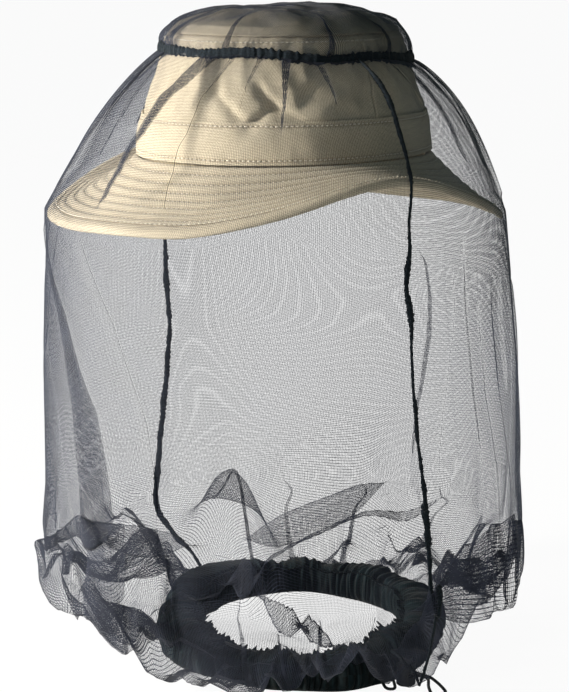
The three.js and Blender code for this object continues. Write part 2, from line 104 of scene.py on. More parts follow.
CORNER_HALF = (net_high - net_low)[:2] / 2 - 0.8 * MM
CORNER_Z = 76 * MM

COLLAR_CENTRE = (collar_low + collar_high)[:2] / 2
COLLAR_OUTER = (collar_high - collar_low)[0] / 2
COLLAR_TOP_Z = collar_high[2]
COLLAR_TUBE_HALF = 13 * MM
COLLAR_RADIUS = COLLAR_OUTER - COLLAR_TUBE_HALF
COLLAR_JOIN_RADIUS = COLLAR_OUTER + 1.0 * MM
COLLAR_JOIN_Z = 0.55 * COLLAR_TOP_Z
COLLAR_RISE = 15 * MM
COLLAR_LOW_SIDE = math.radians(-33)

LOCK_PLACE = (lock_low + lock_high)[:2] / 2
LOCK_ANGLE = math.atan2(*(LOCK_PLACE - COLLAR_CENTRE)[::-1])
LOCK_DISTANCE = float(np.hypot(*(LOCK_PLACE - COLLAR_CENTRE)))
LOCK_HEIGHT = plunger_high[2]


# -------- small helpers

def smooth(low, high, value):
    """0 below low, 1 above high, and an S curve between them."""
    t = np.clip((np.asarray(value, float) - low) / (high - low), 0, 1)
    return t * t * (3 - 2 * t)


NOISE_GAIN = 1.7  # brings Blender's noise up to a range of about -1 to 1
NOISE_FILLER = 0.37  # stands in for a missing coordinate, away from whole numbers, where the noise is 0


def wobble(*coordinates, seed=0.0):
    """Smooth repeatable noise, about -1 to 1, at arrays of one to three coordinates."""
    arrays = np.broadcast_arrays(*[np.asarray(c, float) for c in coordinates])
    flat = [a.ravel() for a in arrays] + [np.full(arrays[0].size, NOISE_FILLER)] * (3 - len(arrays))
    values = [noise.noise(Vector((a + seed, b - seed, c + 2 * seed))) for a, b, c in zip(*flat)]
    return NOISE_GAIN * np.array(values).reshape(arrays[0].shape)


def round_wobble(scale, angle, *across, seed):
    """Noise that joins up round a ring. A larger scale has more waves in it."""
    return wobble(scale * np.cos(angle), scale * np.sin(angle), *across, seed=seed)


def bell(value):
    """1 at 0, falling smoothly away on both sides."""
    return np.exp(-(value**2))


def plateau(value):
    """1 near 0, falling away more sharply than a bell at about 1."""
    return np.exp(-(value**4))


def degrees_from(angle, degrees):
    """The angle from a place round the object, -180 to 180 degrees."""
    return np.degrees(np.angle(np.exp(1j * (angle - math.radians(degrees)))))


def squared(wave, power):
    """Squares off a circle's wave, so that a round section gets flatter sides."""
    return np.sign(wave) * np.abs(wave) ** power


def oval(half, angle):
    """Points of an oval with the given half sizes, as an array of x, y pairs."""
    return np.stack([half[0] * np.cos(angle), half[1] * np.sin(angle)], axis=-1)


def outwards(angle):
    """Level unit vectors that point out from the middle."""
    return np.stack([np.cos(angle), np.sin(angle), np.zeros_like(angle)], axis=-1)


def unit(vectors):
    return vectors / np.linalg.norm(vectors, axis=-1, keepdims=True)


def ring_grid(columns, sides):
    """Angles round the object and turns round a section, as two grids, columns by sides."""
    angles = np.linspace(0, TAU, columns, endpoint=False)
    turns = np.linspace(0, TAU, sides, endpoint=False)
    return np.meshgrid(angles, turns, indexing="ij")


def frame_along(path, guide):
    """Unit vectors to the side of a path and up from it. The side is square to the guide."""
    forward = unit(np.gradient(path, axis=0))
    side = unit(np.cross(forward, guide))
    return side, np.cross(side, forward)


def mesh_object(name, vertices, faces, uvs=None):
    mesh = bpy.data.meshes.new(name)
    mesh.from_pydata(np.asarray(vertices).tolist(), [], faces)
    if uvs is not None:
        layer = mesh.uv_layers.new(name="cloth")
        layer.data.foreach_set("uv", np.asarray(uvs, np.float32).ravel())
    mesh.polygons.foreach_set("use_smooth", [True] * len(mesh.polygons))
    mesh.validate()
    piece = bpy.data.objects.new(name, mesh)
    bpy.context.scene.collection.objects.link(piece)
    return piece


def grid_faces(columns, rows, ring=False, tube=False):
    """Quads of a grid whose vertex number is column * rows + row."""
    last_column = columns if ring else columns - 1
    last_row = rows if tube else rows - 1
    c, r = np.meshgrid(np.arange(last_column), np.arange(last_row), indexing="ij")
    c, r = c.ravel(), r.ravel()
    c2, r2 = (c + 1) % columns, (r + 1) % rows
    return np.stack([c * rows + r, c2 * rows + r, c2 * rows + r2, c * rows + r2], axis=1)


def grid_uvs(along, across):
    """Cloth coordinates at the corners of grid_faces. A closed side has one more entry than it has points."""
    columns, rows = len(along), len(across)
    c, r = np.meshgrid(np.arange(columns - 1), np.arange(rows - 1), indexing="ij")
    c, r = c.ravel(), r.ravel()
    corners = [(c, r), (c + 1, r), (c + 1, r + 1), (c, r + 1)]
    return np.stack([np.stack([along[a], across[b]], axis=-1) for a, b in corners], axis=1)


def sheet_object(name, points, along, across, ring=False, tube=False):
    """A piece from a grid of points, columns by rows, with cloth coordinates in metres."""
    columns, rows = points.shape[:2]
    faces = grid_faces(columns, rows, ring, tube).tolist()
    return mesh_object(name, points.reshape(-1, 3), faces, grid_uvs(np.asarray(along), np.asarray(across)))


def rope_object(name, points, along, girth):
    """A closed solid from rings of points, one ring for each place along it, with capped ends."""
    columns, sides = points.shape[:2]
    faces = grid_faces(columns, sides, tube=True).tolist()
    uvs = grid_uvs(np.asarray(along), np.linspace(0, girth, sides + 1)).reshape(-1, 2)
    first, last = list(range(sides)), list(range((columns - 1) * sides, columns * sides))
    ends = [(along[0], 0.0)] * sides + [(along[-1], 0.0)] * sides
    return mesh_object(name, points.reshape(-1, 3), [*faces, first[::-1], last], np.concatenate([uvs, ends]))


def thicken(piece, thickness):
    """Gives a sheet its cloth thickness, half to each side."""
    modifier = piece.modifiers.new("cloth_thickness", "SOLIDIFY")
    modifier.thickness = thickness
    modifier.offset = 0
    modifier.use_even_offset = False
    return piece


def mark_groove_shade(piece, depth):
    """Marks how far a closed band is pressed in at each row, 0 to 1. The material paints shade into the cloth
    by this mark, darker in its grooves.
    """
    layer = piece.data.attributes.new("groove_shade", "FLOAT", "POINT")
    columns = len(piece.data.vertices) // len(depth)
    layer.data.foreach_set("value", np.tile(depth.astype(np.float32), columns))


def finish_piece(piece, material, body, slot, *nodes):
    piece.data.materials.append(material)
    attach(piece, body)
    if nodes:
        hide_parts(*nodes)
    return piece


def arc_lengths(points):
    """Distance along a polyline of points, from its start, in metres."""
    steps = np.linalg.norm(np.diff(points, axis=0), axis=1)
    return np.concatenate([[0], np.cumsum(steps)])


# -------- surfaces of the hat

def crown_scale(z):
    share = np.clip((z - CROWN_BASE_Z) / (CROWN_TOP_Z - CROWN_BASE_Z), 0, None)
    return 1 - CROWN_TAPER * share**CROWN_TAPER_POWER


def crown_point(angle, z, out=0.0):
    angle, z = np.broadcast_arrays(angle, z)
    scale = crown_scale(z)
    half = (CROWN_HALF[0] * scale + out, CROWN_HALF[1] * scale + out)
    return np.concatenate([oval(half, angle), z[..., None]], axis=-1)


def dome_height(share):
    rim = 1 - CROWN_TAPER
    across = np.clip((share - DOME_FLAT) / (rim - DOME_FLAT), 0, 1)
    return DOME_RIM_Z + (DOME_TOP_Z - DOME_RIM_Z) * (1 - across**DOME_POWER)


def brim_edge_z(angle):
    from_side = np.arcsin(np.clip(np.abs(np.sin(angle)), 0, 1))
    rise = BRIM_SIDE_RISE * np.exp(-((from_side / BRIM_SIDE_SPREAD) ** 2))
    return BRIM_EDGE_Z + rise - BRIM_FRONT_RISE * np.sin(angle)


BRIM_BOW = 3.0 * MM


def brim_point(angle, share, above=0.0):
    """A point of the brim's upper face: share 0 at the crown, 1 at the edge."""
    angle, share = np.broadcast_arrays(angle, share)
    half = [CROWN_HALF[k] + (BRIM_HALF[k] - CROWN_HALF[k]) * share for k in (0, 1)]
    flat = oval(half, angle)
    flat[..., 1] += BRIM_SHIFT * share
    edge = brim_edge_z(angle)
    bow = BRIM_BOW * np.sin(np.pi * np.clip(share, 0, 1))
    z = BRIM_INNER_Z + (edge - BRIM_INNER_Z) * share - bow + above
    return np.concatenate([flat, z[..., None]], axis=-1)


def elastic_z(angle):
    """Height of the crown elastic, which wanders a little between the net's gathers."""
    wander = 1.6 * np.sin(3 * angle + 0.6) * np.cos(2 * angle - 1.1) + 0.7 * np.sin(7 * angle)
    return ELASTIC_Z - ELASTIC_TILT * np.sin(angle) + wander * MM


# -------- materials

class Shader:
    """Short calls for building one node material, or the world's."""

    def __init__(self, name, world=False):
        self.made = (bpy.data.worlds if world else bpy.data.materials).new(name)
        self.made.use_nodes = True
        self.tree = self.made.node_tree
        self.tree.nodes.clear()
        self.output = self.tree.nodes.new("ShaderNodeOutputWorld" if world else "ShaderNodeOutputMaterial")

    def node(self, kind, inputs=None, **settings):
        made = self.tree.nodes.new("ShaderNode" + kind)
        for key, value in settings.items():
            setattr(made, key, value)
        for key, value in (inputs or {}).items():
            self.feed(made.inputs[key], value)
        return made

    def feed(self, socket, value):
        if isinstance(value, bpy.types.NodeSocket):
            self.tree.links.new(value, socket)
        else:
            socket.default_value = value

    def math(self, operation, a, b=0.0, c=0.0):
        return self.node("Math", {0: a, 1: b, 2: c}, operation=operation).outputs[0]

    def cloth(self, scale_u, scale_v):
        """The piece's cloth coordinates, in repeats of a pattern, as two outputs."""
        uv = self.node("UVMap", uv_map="cloth").outputs[0]
        parts = self.node("SeparateXYZ", {0: uv}).outputs
        return self.math("MULTIPLY", parts[0], scale_u), self.math("MULTIPLY", parts[1], scale_v)

    def noise(self, scale, detail=2.0, vector=None):
        inputs = {"Scale": scale, "Detail": detail}
        inputs["Vector"] = vector or self.node("NewGeometry").outputs["Position"]
        return self.node("TexNoise", inputs).outputs["Fac"]

    def ramp(self, value, *stops):
        made = self.node("ValToRGB", {0: value})
        elements = made.color_ramp.elements
        while len(elements) < len(stops):
            elements.new(0.5)
        for element, (position, color) in zip(elements, stops):
            element.position = position
            element.color = (*color, 1)
        return made.outputs[0]

    def tones(self, value, color, *stops):
        """A ramp through shades of one colour. stops are pairs of place and brightness."""
        return self.ramp(value, *((place, shade(color, factor)) for place, factor in stops))

    def multiply(self, first, second):
        inputs = {0: 1.0, 6: first, 7: second}
        return self.node("Mix", inputs, data_type="RGBA", blend_type="MULTIPLY").outputs[2]

    def mix(self, share, first, second):
        return self.node("MixShader", {0: share, 1: first, 2: second}).outputs[0]

    def wave(self, repeats):
        return self.math("SINE", self.math("MULTIPLY", repeats, TAU))

    def bump(self, height, distance, strength=1.0, under=None):
        inputs = {"Height": height, "Distance": distance, "Strength": strength}
        if under is not None:
            inputs["Normal"] = under
        return self.node("Bump", inputs).outputs[0]

    def principled(self, color, roughness, normal=None, sheen=0.0, metallic=0.0, specular=0.3):
        inputs = {"Base Color": color, "Roughness": roughness, "Metallic": metallic}
        inputs["Sheen Weight"] = sheen
        inputs["Specular IOR Level"] = specular
        if normal is not None:
            inputs["Normal"] = normal
        return self.node("BsdfPrincipled", inputs).outputs[0]

    def done(self, surface):
        self.feed(self.output.inputs["Surface"], surface)
        return self.made


def shade(color, factor):
    return tuple(channel * factor for channel in color)


WHITE = (1.0, 1.0, 1.0)
# The colour multiplied into the cloth as painted shade at the bottom of its stitched grooves.
GROOVE_SHADE_TONE = (0.42, 0.39, 0.36)


def cotton_material(name, color, pitch):
    """Washed cotton twill: diagonal ribs, slubby threads, soft blotches, and painted shade in the stitched
    grooves.
    """
    s = Shader(name)
    u, v = s.cloth(1 / pitch, 1 / pitch)
    rib = s.wave(s.math("ADD", u, s.math("MULTIPLY", v, 1.6)))
    thread = s.wave(s.math("SUBTRACT", s.math("MULTIPLY", u, 1.4), v))
    weave = s.math("MULTIPLY_ADD", thread, 0.35, rib)
    slub = s.noise(900.0, 3.0)
    blotch = s.noise(34.0, 4.0)
    cloth = s.tones(blotch, color, (0.3, 0.88), (0.55, 1.0), (0.75, 1.08))
    cloth = s.multiply(cloth, s.tones(slub, WHITE, (0.3, 0.86), (0.7, 1.06)))
    ribs = s.math("MULTIPLY_ADD", weave, 0.5, 0.5)
    cloth = s.multiply(cloth, s.ramp(ribs, (0.1, (0.84, 0.83, 0.8)), (0.8, shade(WHITE, 1.04))))
    # Painted shade: the cloth is darkened in its stitched grooves, by how far each row is pressed in.
    groove_shade = s.node("Attribute", attribute_name="groove_shade").outputs["Fac"]
    cloth = s.multiply(cloth, s.ramp(groove_shade, (0.0, WHITE), (1.0, GROOVE_SHADE_TONE)))
    rough = s.bump(slub, 0.25 * MM, 0.5)
    normal = s.bump(weave, 0.12 * MM, 0.6, rough)
    return s.done(s.principled(cloth, 0.92, normal, sheen=0.15, specular=0.15))


NET_PITCH = 1.05 * MM
# How fast the threads close up as the net turns edge-on, and how little it may face the eye before they stop.
NET_CLOSING_POWER = -0.7
NET_LEAST_FACING = 0.05


def net_material(name, color, thread_share):
    """A square mesh of round threads. Seen edge-on the threads close up, so the net turns denser."""
    s = Shader(name)
    u, v = s.cloth(1 / NET_PITCH, 1 / NET_PITCH)
    geometry = s.node("NewGeometry")
    dot = s.node("VectorMath", {0: geometry.outputs["Normal"], 1: geometry.outputs["Incoming"]})
    dot.operation = "DOT_PRODUCT"
    facing = s.math("MAXIMUM", s.math("ABSOLUTE", dot.outputs["Value"]), NET_LEAST_FACING)
    share = s.math("MULTIPLY", s.math("POWER", facing, NET_CLOSING_POWER), thread_share / 2)
    threads = []
    for way in (u, v):
        offset = s.math("ABSOLUTE", s.math("SUBTRACT", s.math("FRACT", way), 0.5))
        threads.append(s.math("LESS_THAN", offset, share))
    mask = s.math("MAXIMUM", *threads)
    tint = s.noise(55.0, 2.0)
    tone = s.tones(tint, color, (0.35, 0.8), (0.65, 1.2))
    body = s.principled(tone, 0.6, sheen=0.05, specular=0.2)
    through = s.node("BsdfTranslucent", {"Color": tone}).outputs[0]
    thread = s.mix(0.45, body, through)
    clear = s.node("BsdfTransparent").outputs[0]
    return s.done(s.mix(mask, clear, thread))


def gathered_material(name, color):
    """Net drawn up many layers thick: dark, partly from its layers and partly from painted shade in the
    colour it is given, with streaks down the gathers and a fine mesh grain.
    """
    s = Shader(name)
    u, v = s.cloth(1.0, 1.0)
    streak_place = s.node("CombineXYZ", {0: s.math("MULTIPLY", u, 420.0), 1: s.math("MULTIPLY", v, 45.0)})
    streak = s.noise(1.0, 3.0, streak_place.outputs[0])
    tone = s.tones(streak, color, (0.38, 0.35), (0.55, 1.0), (0.72, 2.2))
    grain_u = s.math("SINE", s.math("MULTIPLY", u, TAU / (0.9 * MM)))
    grain_v = s.math("SINE", s.math("MULTIPLY", v, TAU / (0.9 * MM)))
    grain = s.bump(s.math("MULTIPLY", grain_u, grain_v), 0.1 * MM, 0.7)
    normal = s.bump(streak, 1.2 * MM, 0.8, grain)
    return s.done(s.principled(tone, 0.8, normal, sheen=0.06, specular=0.12))


def fuzzy_material(name, color):
    """Overlocked thread: black, matt and tufted."""
    s = Shader(name)
    tuft = s.noise(1400.0, 4.0)
    tone = s.tones(tuft, color, (0.4, 0.5), (0.7, 2.6))
    return s.done(s.principled(tone, 0.95, s.bump(tuft, 0.5 * MM), sheen=0.06, specular=0.08))


def braid_material(name, color):
    """Braided elastic: two sets of crossing threads, slightly shiny."""
    s = Shader(name)
    u, v = s.cloth(1 / (1.6 * MM), 1 / (1.2 * MM))
    cross = s.math("MAXIMUM", s.wave(s.math("ADD", u, v)), s.wave(s.math("SUBTRACT", u, v)))
    tone = s.tones(s.math("MULTIPLY_ADD", cross, 0.5, 0.5), color, (0.2, 0.5), (0.9, 1.8))
    return s.done(s.principled(tone, 0.5, s.bump(cross, 0.15 * MM, 0.8), sheen=0.2))


def thread_material(name, color):
    """Twisted sewing thread."""
    s = Shader(name)
    twist = s.noise(2600.0, 2.0)
    tone = s.tones(twist, color, (0.3, 0.75), (0.7, 1.1))
    return s.done(s.principled(tone, 0.7, s.bump(twist, 0.1 * MM, 0.6), sheen=0.2))


def plastic_material(name, color):
    """Moulded plastic with a fine spark-eroded grain and a few scuffs."""
    s = Shader(name)
    grain = s.noise(3000.0, 2.0)
    scuff = s.noise(260.0, 5.0)
    tone = s.tones(scuff, color, (0.45, 1.0), (0.75, 2.5))
    roughness = s.math("MULTIPLY_ADD", scuff, 0.3, 0.3)
    return s.done(s.principled(tone, roughness, s.bump(grain, 0.05 * MM, 0.5), specular=0.5))


def steel_material(name):
    """Bright drawn wire with faint lengthwise marks."""
    s = Shader(name)
    marks = s.noise(1800.0, 3.0)
    tone = s.ramp(marks, (0.3, (0.45, 0.46, 0.48)), (0.7, (0.7, 0.71, 0.73)))
    return s.done(s.principled(tone, 0.28, s.bump(marks, 0.02 * MM, 0.4), metallic=1.0))


FLOOR_GLOW = 0.95


def floor_material(name):
    """A pale sweep that reads almost white, and throws less light back up than it shows."""
    s = Shader(name)
    seen = s.node("LightPath").outputs["Is Camera Ray"]
    mottle = s.noise(3.0, 2.0)
    tone = s.ramp(mottle, (0.3, (0.86, 0.87, 0.87)), (0.7, shade(WHITE, 0.9)))
    paper = s.principled(tone, 0.9, specular=0.1)
    glow = s.node("Emission", {"Color": (1, 1, 1, 1), "Strength": 1.0}).outputs[0]
    return s.done(s.mix(s.math("MULTIPLY", seen, FLOOR_GLOW), paper, glow))


NET_COLOR = (0.026, 0.031, 0.049)

hat_cotton = cotton_material("hat_cotton", (0.68, 0.6, 0.46), 0.9 * MM)
hat_lining = cotton_material("hat_lining", (0.5, 0.42, 0.28), 0.6 * MM)
hat_thread = thread_material("hat_thread", (0.86, 0.79, 0.66))
net_black = net_material("net_black", NET_COLOR, 0.141)
net_black_drawn_up = net_material("net_black_drawn_up", NET_COLOR, 0.215)
# The collar's colour is partly the black net's own, many layers thick, and partly painted shade: a
# teal-black, far darker than the net's threads.
collar_shaded_black = gathered_material("collar_shaded_black", (0.004, 0.010, 0.012))
seam_black = fuzzy_material("seam_black", (0.006, 0.009, 0.012))
elastic_black = braid_material("elastic_black", (0.009, 0.011, 0.013))
lock_plastic = plastic_material("lock_plastic", (0.012, 0.013, 0.015))
spring_steel = steel_material("spring_steel")


# -------- hat

HAT_SEAM = math.radians(10)
HAT_CLOTH = 1.4 * MM
SEAM_GAP = 0.003  # radians
SEAM_WELT = 0.05  # radians

# Short hollows in the crown's soft cloth: angle, height, reach round, reach up, depth, slant.
CROWN_HOLLOWS = [
    (-36, 393, 4.5, 9, 4.4, -0.9),
    (-39, 381, 5, 8, 4.0, 0.8),
    (-51, 386, 5.0, 9, 3.4, -1.1),
    (-60, 396, 4.0, 9, 1.8, 0.9),
    (-18, 398, 6, 11, 2.4, 0.8),
    (-27, 384, 6, 7, 2.0, -1.2),
    (-78, 396, 8, 13, 1.5, 0.5),
    (22, 388, 7, 14, 2.0, -0.4),
    (52, 397, 9, 12, 1.8, 0.5),
    (84, 384, 7, 12, 2.2, -0.3),
    (121, 394, 9, 15, 1.7, 0.3),
    (160, 386, 7, 12, 2.2, 0.5),
    (-112, 388, 8, 13, 2.0, 0.4),
    (-146, 393, 8, 14, 1.8, -0.5),
]


def crown_relief(angle, z):
    """How far the crown's cloth stands out from its smooth shape."""
    relief = 1.0 * MM * round_wobble(2.2, angle, z / (22 * MM), seed=3)
    relief += 0.5 * MM * round_wobble(9, angle, z / (9 * MM), seed=8)
    crumple = 1 - 2 * np.abs(round_wobble(5, angle, z / (26 * MM), seed=15))
    relief += 0.9 * MM * crumple * smooth(CROWN_BASE_Z + 20 * MM, CROWN_BASE_Z + 34 * MM, z)
    for degrees, height, reach_round, reach_up, depth, slant in CROWN_HOLLOWS:
        up = (z / MM - height) / reach_up
        across = (degrees_from(angle, degrees) - slant * reach_round * up) / reach_round
        relief -= depth * MM * np.exp(-2.2 * across**2 - up**2)
    return relief


def crown_surface(angle, z):
    return crown_point(angle, z, crown_relief(angle, z) + 0.25 * MM)


def build_crown():
    rows = np.linspace(CROWN_TOP_Z, CROWN_BASE_Z, 44)
    pieces = {
        "hat_crown_front": (np.pi - HAT_SEAM, TAU + HAT_SEAM, "hat_crown_front_panel"),
        "hat_crown_back": (HAT_SEAM, np.pi - HAT_SEAM, "hat_crown_back_panel"),
    }
    for name, (first, last, node) in pieces.items():
        angles = np.linspace(first + SEAM_GAP, last - SEAM_GAP, 210)
        angle, z = np.meshgrid(angles, rows, indexing="ij")
        welt = 0.7 * MM * (bell((angles - first) / SEAM_WELT) + bell((angles - last) / SEAM_WELT))
        rim = 0.8 * MM * bell((CROWN_TOP_Z - z) / (3 * MM))
        points = crown_point(angle, z, crown_relief(angle, z) + welt[:, None] - rim - HAT_CLOTH / 2)
        piece = sheet_object(name, points, angles * CROWN_HALF.mean(), rows)
        thicken(piece, HAT_CLOTH)
        finish_piece(piece, hat_cotton, "hat", "hat_cotton", node)


def disc_grid(count):
    """Points of a unit disc on a square grid, with no pole."""
    u, v = np.meshgrid(np.linspace(-1, 1, count), np.linspace(-1, 1, count), indexing="ij")
    return u * np.sqrt(1 - v**2 / 2), v * np.sqrt(1 - u**2 / 2)


TOP_RIM_SHARE = 1 - CROWN_TAPER


def top_relief(x, y):
    """Soft dents and one long crease in the crown's top panel. x and y are in metres."""
    relief = 1.5 * MM * wobble(x / (42 * MM), y / (42 * MM), seed=5)
    relief += 1.0 * MM * (1 - 2 * np.abs(wobble(x / (24 * MM), y / (24 * MM), seed=17)))
    relief += 0.3 * MM * wobble(x / (11 * MM), y / (11 * MM), seed=9)
    crease = (y + 22 * MM - 0.35 * x) / (6 * MM)
    return relief - 2.0 * MM * bell(crease) * bell(x / (44 * MM))


def build_top_panel():
    count = 110
    disc_x, disc_y = disc_grid(count)
    radius = np.hypot(disc_x, disc_y)
    x = CROWN_HALF[0] * TOP_RIM_SHARE * disc_x
    y = CROWN_HALF[1] * TOP_RIM_SHARE * disc_y
    edge = 0.6 * MM * bell((1 - radius) / 0.035)
    ridge = 1.0 * MM * bell((1 - radius - 0.075) / 0.035)
    z = dome_height(radius * TOP_RIM_SHARE) + top_relief(x, y) * (1 - radius**6) - HAT_CLOTH / 2
    points = np.stack([x, y, z - edge + ridge], axis=-1)
    across = np.linspace(-1, 1, count)
    piece = sheet_object("hat_crown_top", points, across * CROWN_HALF[0], across * CROWN_HALF[1])
    thicken(piece, HAT_CLOTH)
    finish_piece(piece, hat_cotton, "hat", "hat_cotton", "hat_top_panel")


def ring_piece(name, rows, point, thickness, columns=420):
    """A closed band of cloth. point(angle, row) gives its surface."""
    angles = np.linspace(0, TAU, columns, endpoint=False)
    angle, row = np.meshgrid(angles, rows, indexing="ij")
    points = point(angle, row)
    along = np.linspace(0, TAU, columns + 1) * CROWN_HALF.mean()
    across = arc_lengths(points[0])
    piece = sheet_object(name, points, along, across, ring=True)
    return thicken(piece, thickness)


BAND_STITCH_INSET = 3 * MM
BAND_STITCH_ROWS = band_high[2] - BAND_STITCH_INSET, band_low[2] + BAND_STITCH_INSET


def band_dips(z):
    """1 along the band's two rows of stitches, fading to 0."""
    return sum(bell((z - row) / (1.0 * MM)) for row in BAND_STITCH_ROWS)


def band_surface(angle, z):
    height = band_high[2] - band_low[2]
    puff = 0.5 * MM * np.sin(np.pi * np.clip((z - band_low[2]) / height, 0, 1))
    out = 1.5 * MM + crown_relief(angle, z) * 0.6 + puff - 0.6 * MM * band_dips(z)
    return crown_point(angle, z, out)


def sweatband_surface(angle, z):
    pucker = 0.4 * MM * np.sin(64 * angle + 2 * np.sin(5 * angle))
    return crown_point(angle, z, pucker - 3.6 * MM)


def build_bands():
    rows = np.linspace(band_high[2], band_low[2], 46)
    piece = ring_piece("hat_band_cloth", rows, band_surface, 1.1 * MM)
    # Painted shade along the band's two rows of stitches.
    mark_groove_shade(piece, band_dips(rows) * 0.7)
    finish_piece(piece, hat_cotton, "hat", "hat_cotton", "hat_band")

    rows = np.linspace(sweat_high[2], sweat_low[2], 14)
    piece = ring_piece("hat_sweatband_cloth", rows, sweatband_surface, 1.0 * MM)
    finish_piece(piece, hat_lining, "hat", "hat_lining", "hat_sweatband")


# The brim's stitched rows lie a little closer together towards its edge.
BRIM_ROWS = 8
BRIM_ROW_SHARES = [((k + 0.75) / (BRIM_ROWS + 0.6)) ** 0.9 for k in range(BRIM_ROWS)]
BINDING_SHARE = 0.895
BINDING_END = 1.02


def brim_quilt(share):
    """Height of the brim's padded rings: low at each row of stitches, full between them."""
    marks = [0.0, *BRIM_ROW_SHARES, 1.0]
    place = np.interp(share, marks, np.arange(len(marks)))
    return np.abs(np.sin(np.pi * place)) ** 0.7


def brim_wave(angle, share):
    """The soft waves that all the brim's layers share."""
    return 1.1 * MM * round_wobble(2.6, angle, share * 1.5, seed=12) * share


def brim_top(angle, share):
    pucker = 0.14 * MM * round_wobble(60, angle, share * 9, seed=2)
    relief = 1.5 * MM * brim_quilt(share) + brim_wave(angle, share) + pucker
    return brim_point(angle, share, relief - 0.4 * MM)


def brim_under(angle, share):
    relief = brim_wave(angle, share) - 0.9 * MM * brim_quilt(share)
    return brim_point(angle, share, relief - BRIM_THICKNESS + 0.6 * MM)


def brim_middle(angle, share):
    return brim_point(angle, share, brim_wave(angle, share) - BRIM_THICKNESS / 2)


def build_brim():
    shares = np.linspace(0.0, 0.985, 120)
    plies = [
        ("hat_brim_top", brim_top, "hat_brim_top_ply"),
        ("hat_brim_under", brim_under, "hat_brim_bottom_ply"),
    ]
    for name, surface, node in plies:
        piece = ring_piece(name, shares, surface, 0.8 * MM, 480)
        # Painted shade in the brim's stitched grooves.
        mark_groove_shade(piece, (1 - brim_quilt(shares)) ** 1.5)
        finish_piece(piece, hat_cotton, "hat", "hat_cotton", node)
    piece = ring_piece("hat_brim_stiffener", np.linspace(0.01, 0.96, 16), brim_middle, 0.6 * MM, 240)
    finish_piece(piece, hat_lining, "hat", "hat_lining", "hat_brim_interlining")


def build_binding():
    """The binding tape, folded round the brim's edge, as one rounded closed roll."""
    columns, sides = 480, 22
    angle, turn = ring_grid(columns, sides)
    middle_share = (BINDING_SHARE + BINDING_END) / 2
    half_share = (BINDING_END - BINDING_SHARE) / 2
    share = middle_share + half_share * squared(np.cos(turn), 0.75)
    pucker = 0.22 * MM * round_wobble(70, angle, turn, seed=21)
    height = (BRIM_THICKNESS / 2 + 1.15 * MM + pucker) * squared(np.sin(turn), 0.75)
    points = brim_point(angle, share, brim_wave(angle, share) - BRIM_THICKNESS / 2 + 0.2 * MM + height)
    along = np.linspace(0, TAU, columns + 1) * BRIM_HALF.mean()
    across = np.linspace(0, 16 * MM, sides + 1)
    piece = sheet_object("hat_brim_edge_binding", points, along, across, ring=True, tube=True)
    finish_piece(piece, hat_cotton, "hat", "hat_cotton", "hat_brim_binding")


TOP_STITCH_DROP = 3.2 * MM
STITCH_LENGTH = 2.5 * MM
STITCH_GAP = 0.8 * MM
STITCH_RADIUS = 0.42 * MM
STITCH_SIDES = 6


def stitch_row(path, outward):
    """Vertices and faces of the stitches along a polyline. outward lifts them to lie on the cloth."""
    lengths = arc_lengths(path)
    count = int(lengths[-1] / (STITCH_LENGTH + STITCH_GAP))
    starts = np.arange(count) * lengths[-1] / count
    stations = np.array([0.0, 0.25, 0.75, 1.0])
    radii = np.array([0.25, 1.0, 1.0, 0.25]) * STITCH_RADIUS
    sink = np.array([-0.6, 0.4, 0.4, -0.6]) * STITCH_RADIUS
    place = starts[:, None] + stations[None, :] * STITCH_LENGTH
    centre = np.stack([np.interp(place, lengths, path[:, k]) for k in range(3)], axis=-1)
    lift = np.stack([np.interp(place, lengths, outward[:, k]) for k in range(3)], axis=-1)
    ahead = unit(centre[:, -1] - centre[:, 0])
    side = np.cross(ahead[:, None, :], lift)
    turn = np.linspace(0, TAU, STITCH_SIDES, endpoint=False)
    ring = np.cos(turn)[:, None] * side[:, :, None, :] + np.sin(turn)[:, None] * lift[:, :, None, :]
    points = (centre + lift * sink[:, None])[:, :, None, :] + ring * radii[:, None, None]
    sides = np.array([
        [s * STITCH_SIDES + k, s * STITCH_SIDES + j, (s + 1) * STITCH_SIDES + j, (s + 1) * STITCH_SIDES + k]
        for s in range(len(stations) - 1)
        for k, j in zip(range(STITCH_SIDES), [*range(1, STITCH_SIDES), 0])
    ])
    rim = np.arange(STITCH_SIDES)
    caps = np.array([rim[::-1], rim + (len(stations) - 1) * STITCH_SIDES])
    first = (np.arange(count) * len(stations) * STITCH_SIDES)[:, None, None]
    faces = [(shape[None] + first).reshape(-1, shape.shape[1]).tolist() for shape in (sides, caps)]
    return points.reshape(-1, 3), faces[0] + faces[1]


def stitch_line(surface, row, step, out, up=0.0):
    """The line of one row of stitches on surface(angle, row), and the cloth's outward normals along it."""
    angle = np.linspace(0, TAU, 721)
    row = np.full_like(angle, row)
    path = surface(angle, row)
    path[:, 2] += up
    along = surface(angle + 0.002, row) - surface(angle - 0.002, row)
    down = surface(angle, row + step) - surface(angle, row - step)
    normal = unit(np.cross(along, down))
    from_crown = path * [1, 1, 0] if surface is not brim_top else np.array([0, 0, 1])
    normal *= np.sign(np.sum(normal * from_crown, axis=1, keepdims=True))
    return path + normal * out, normal


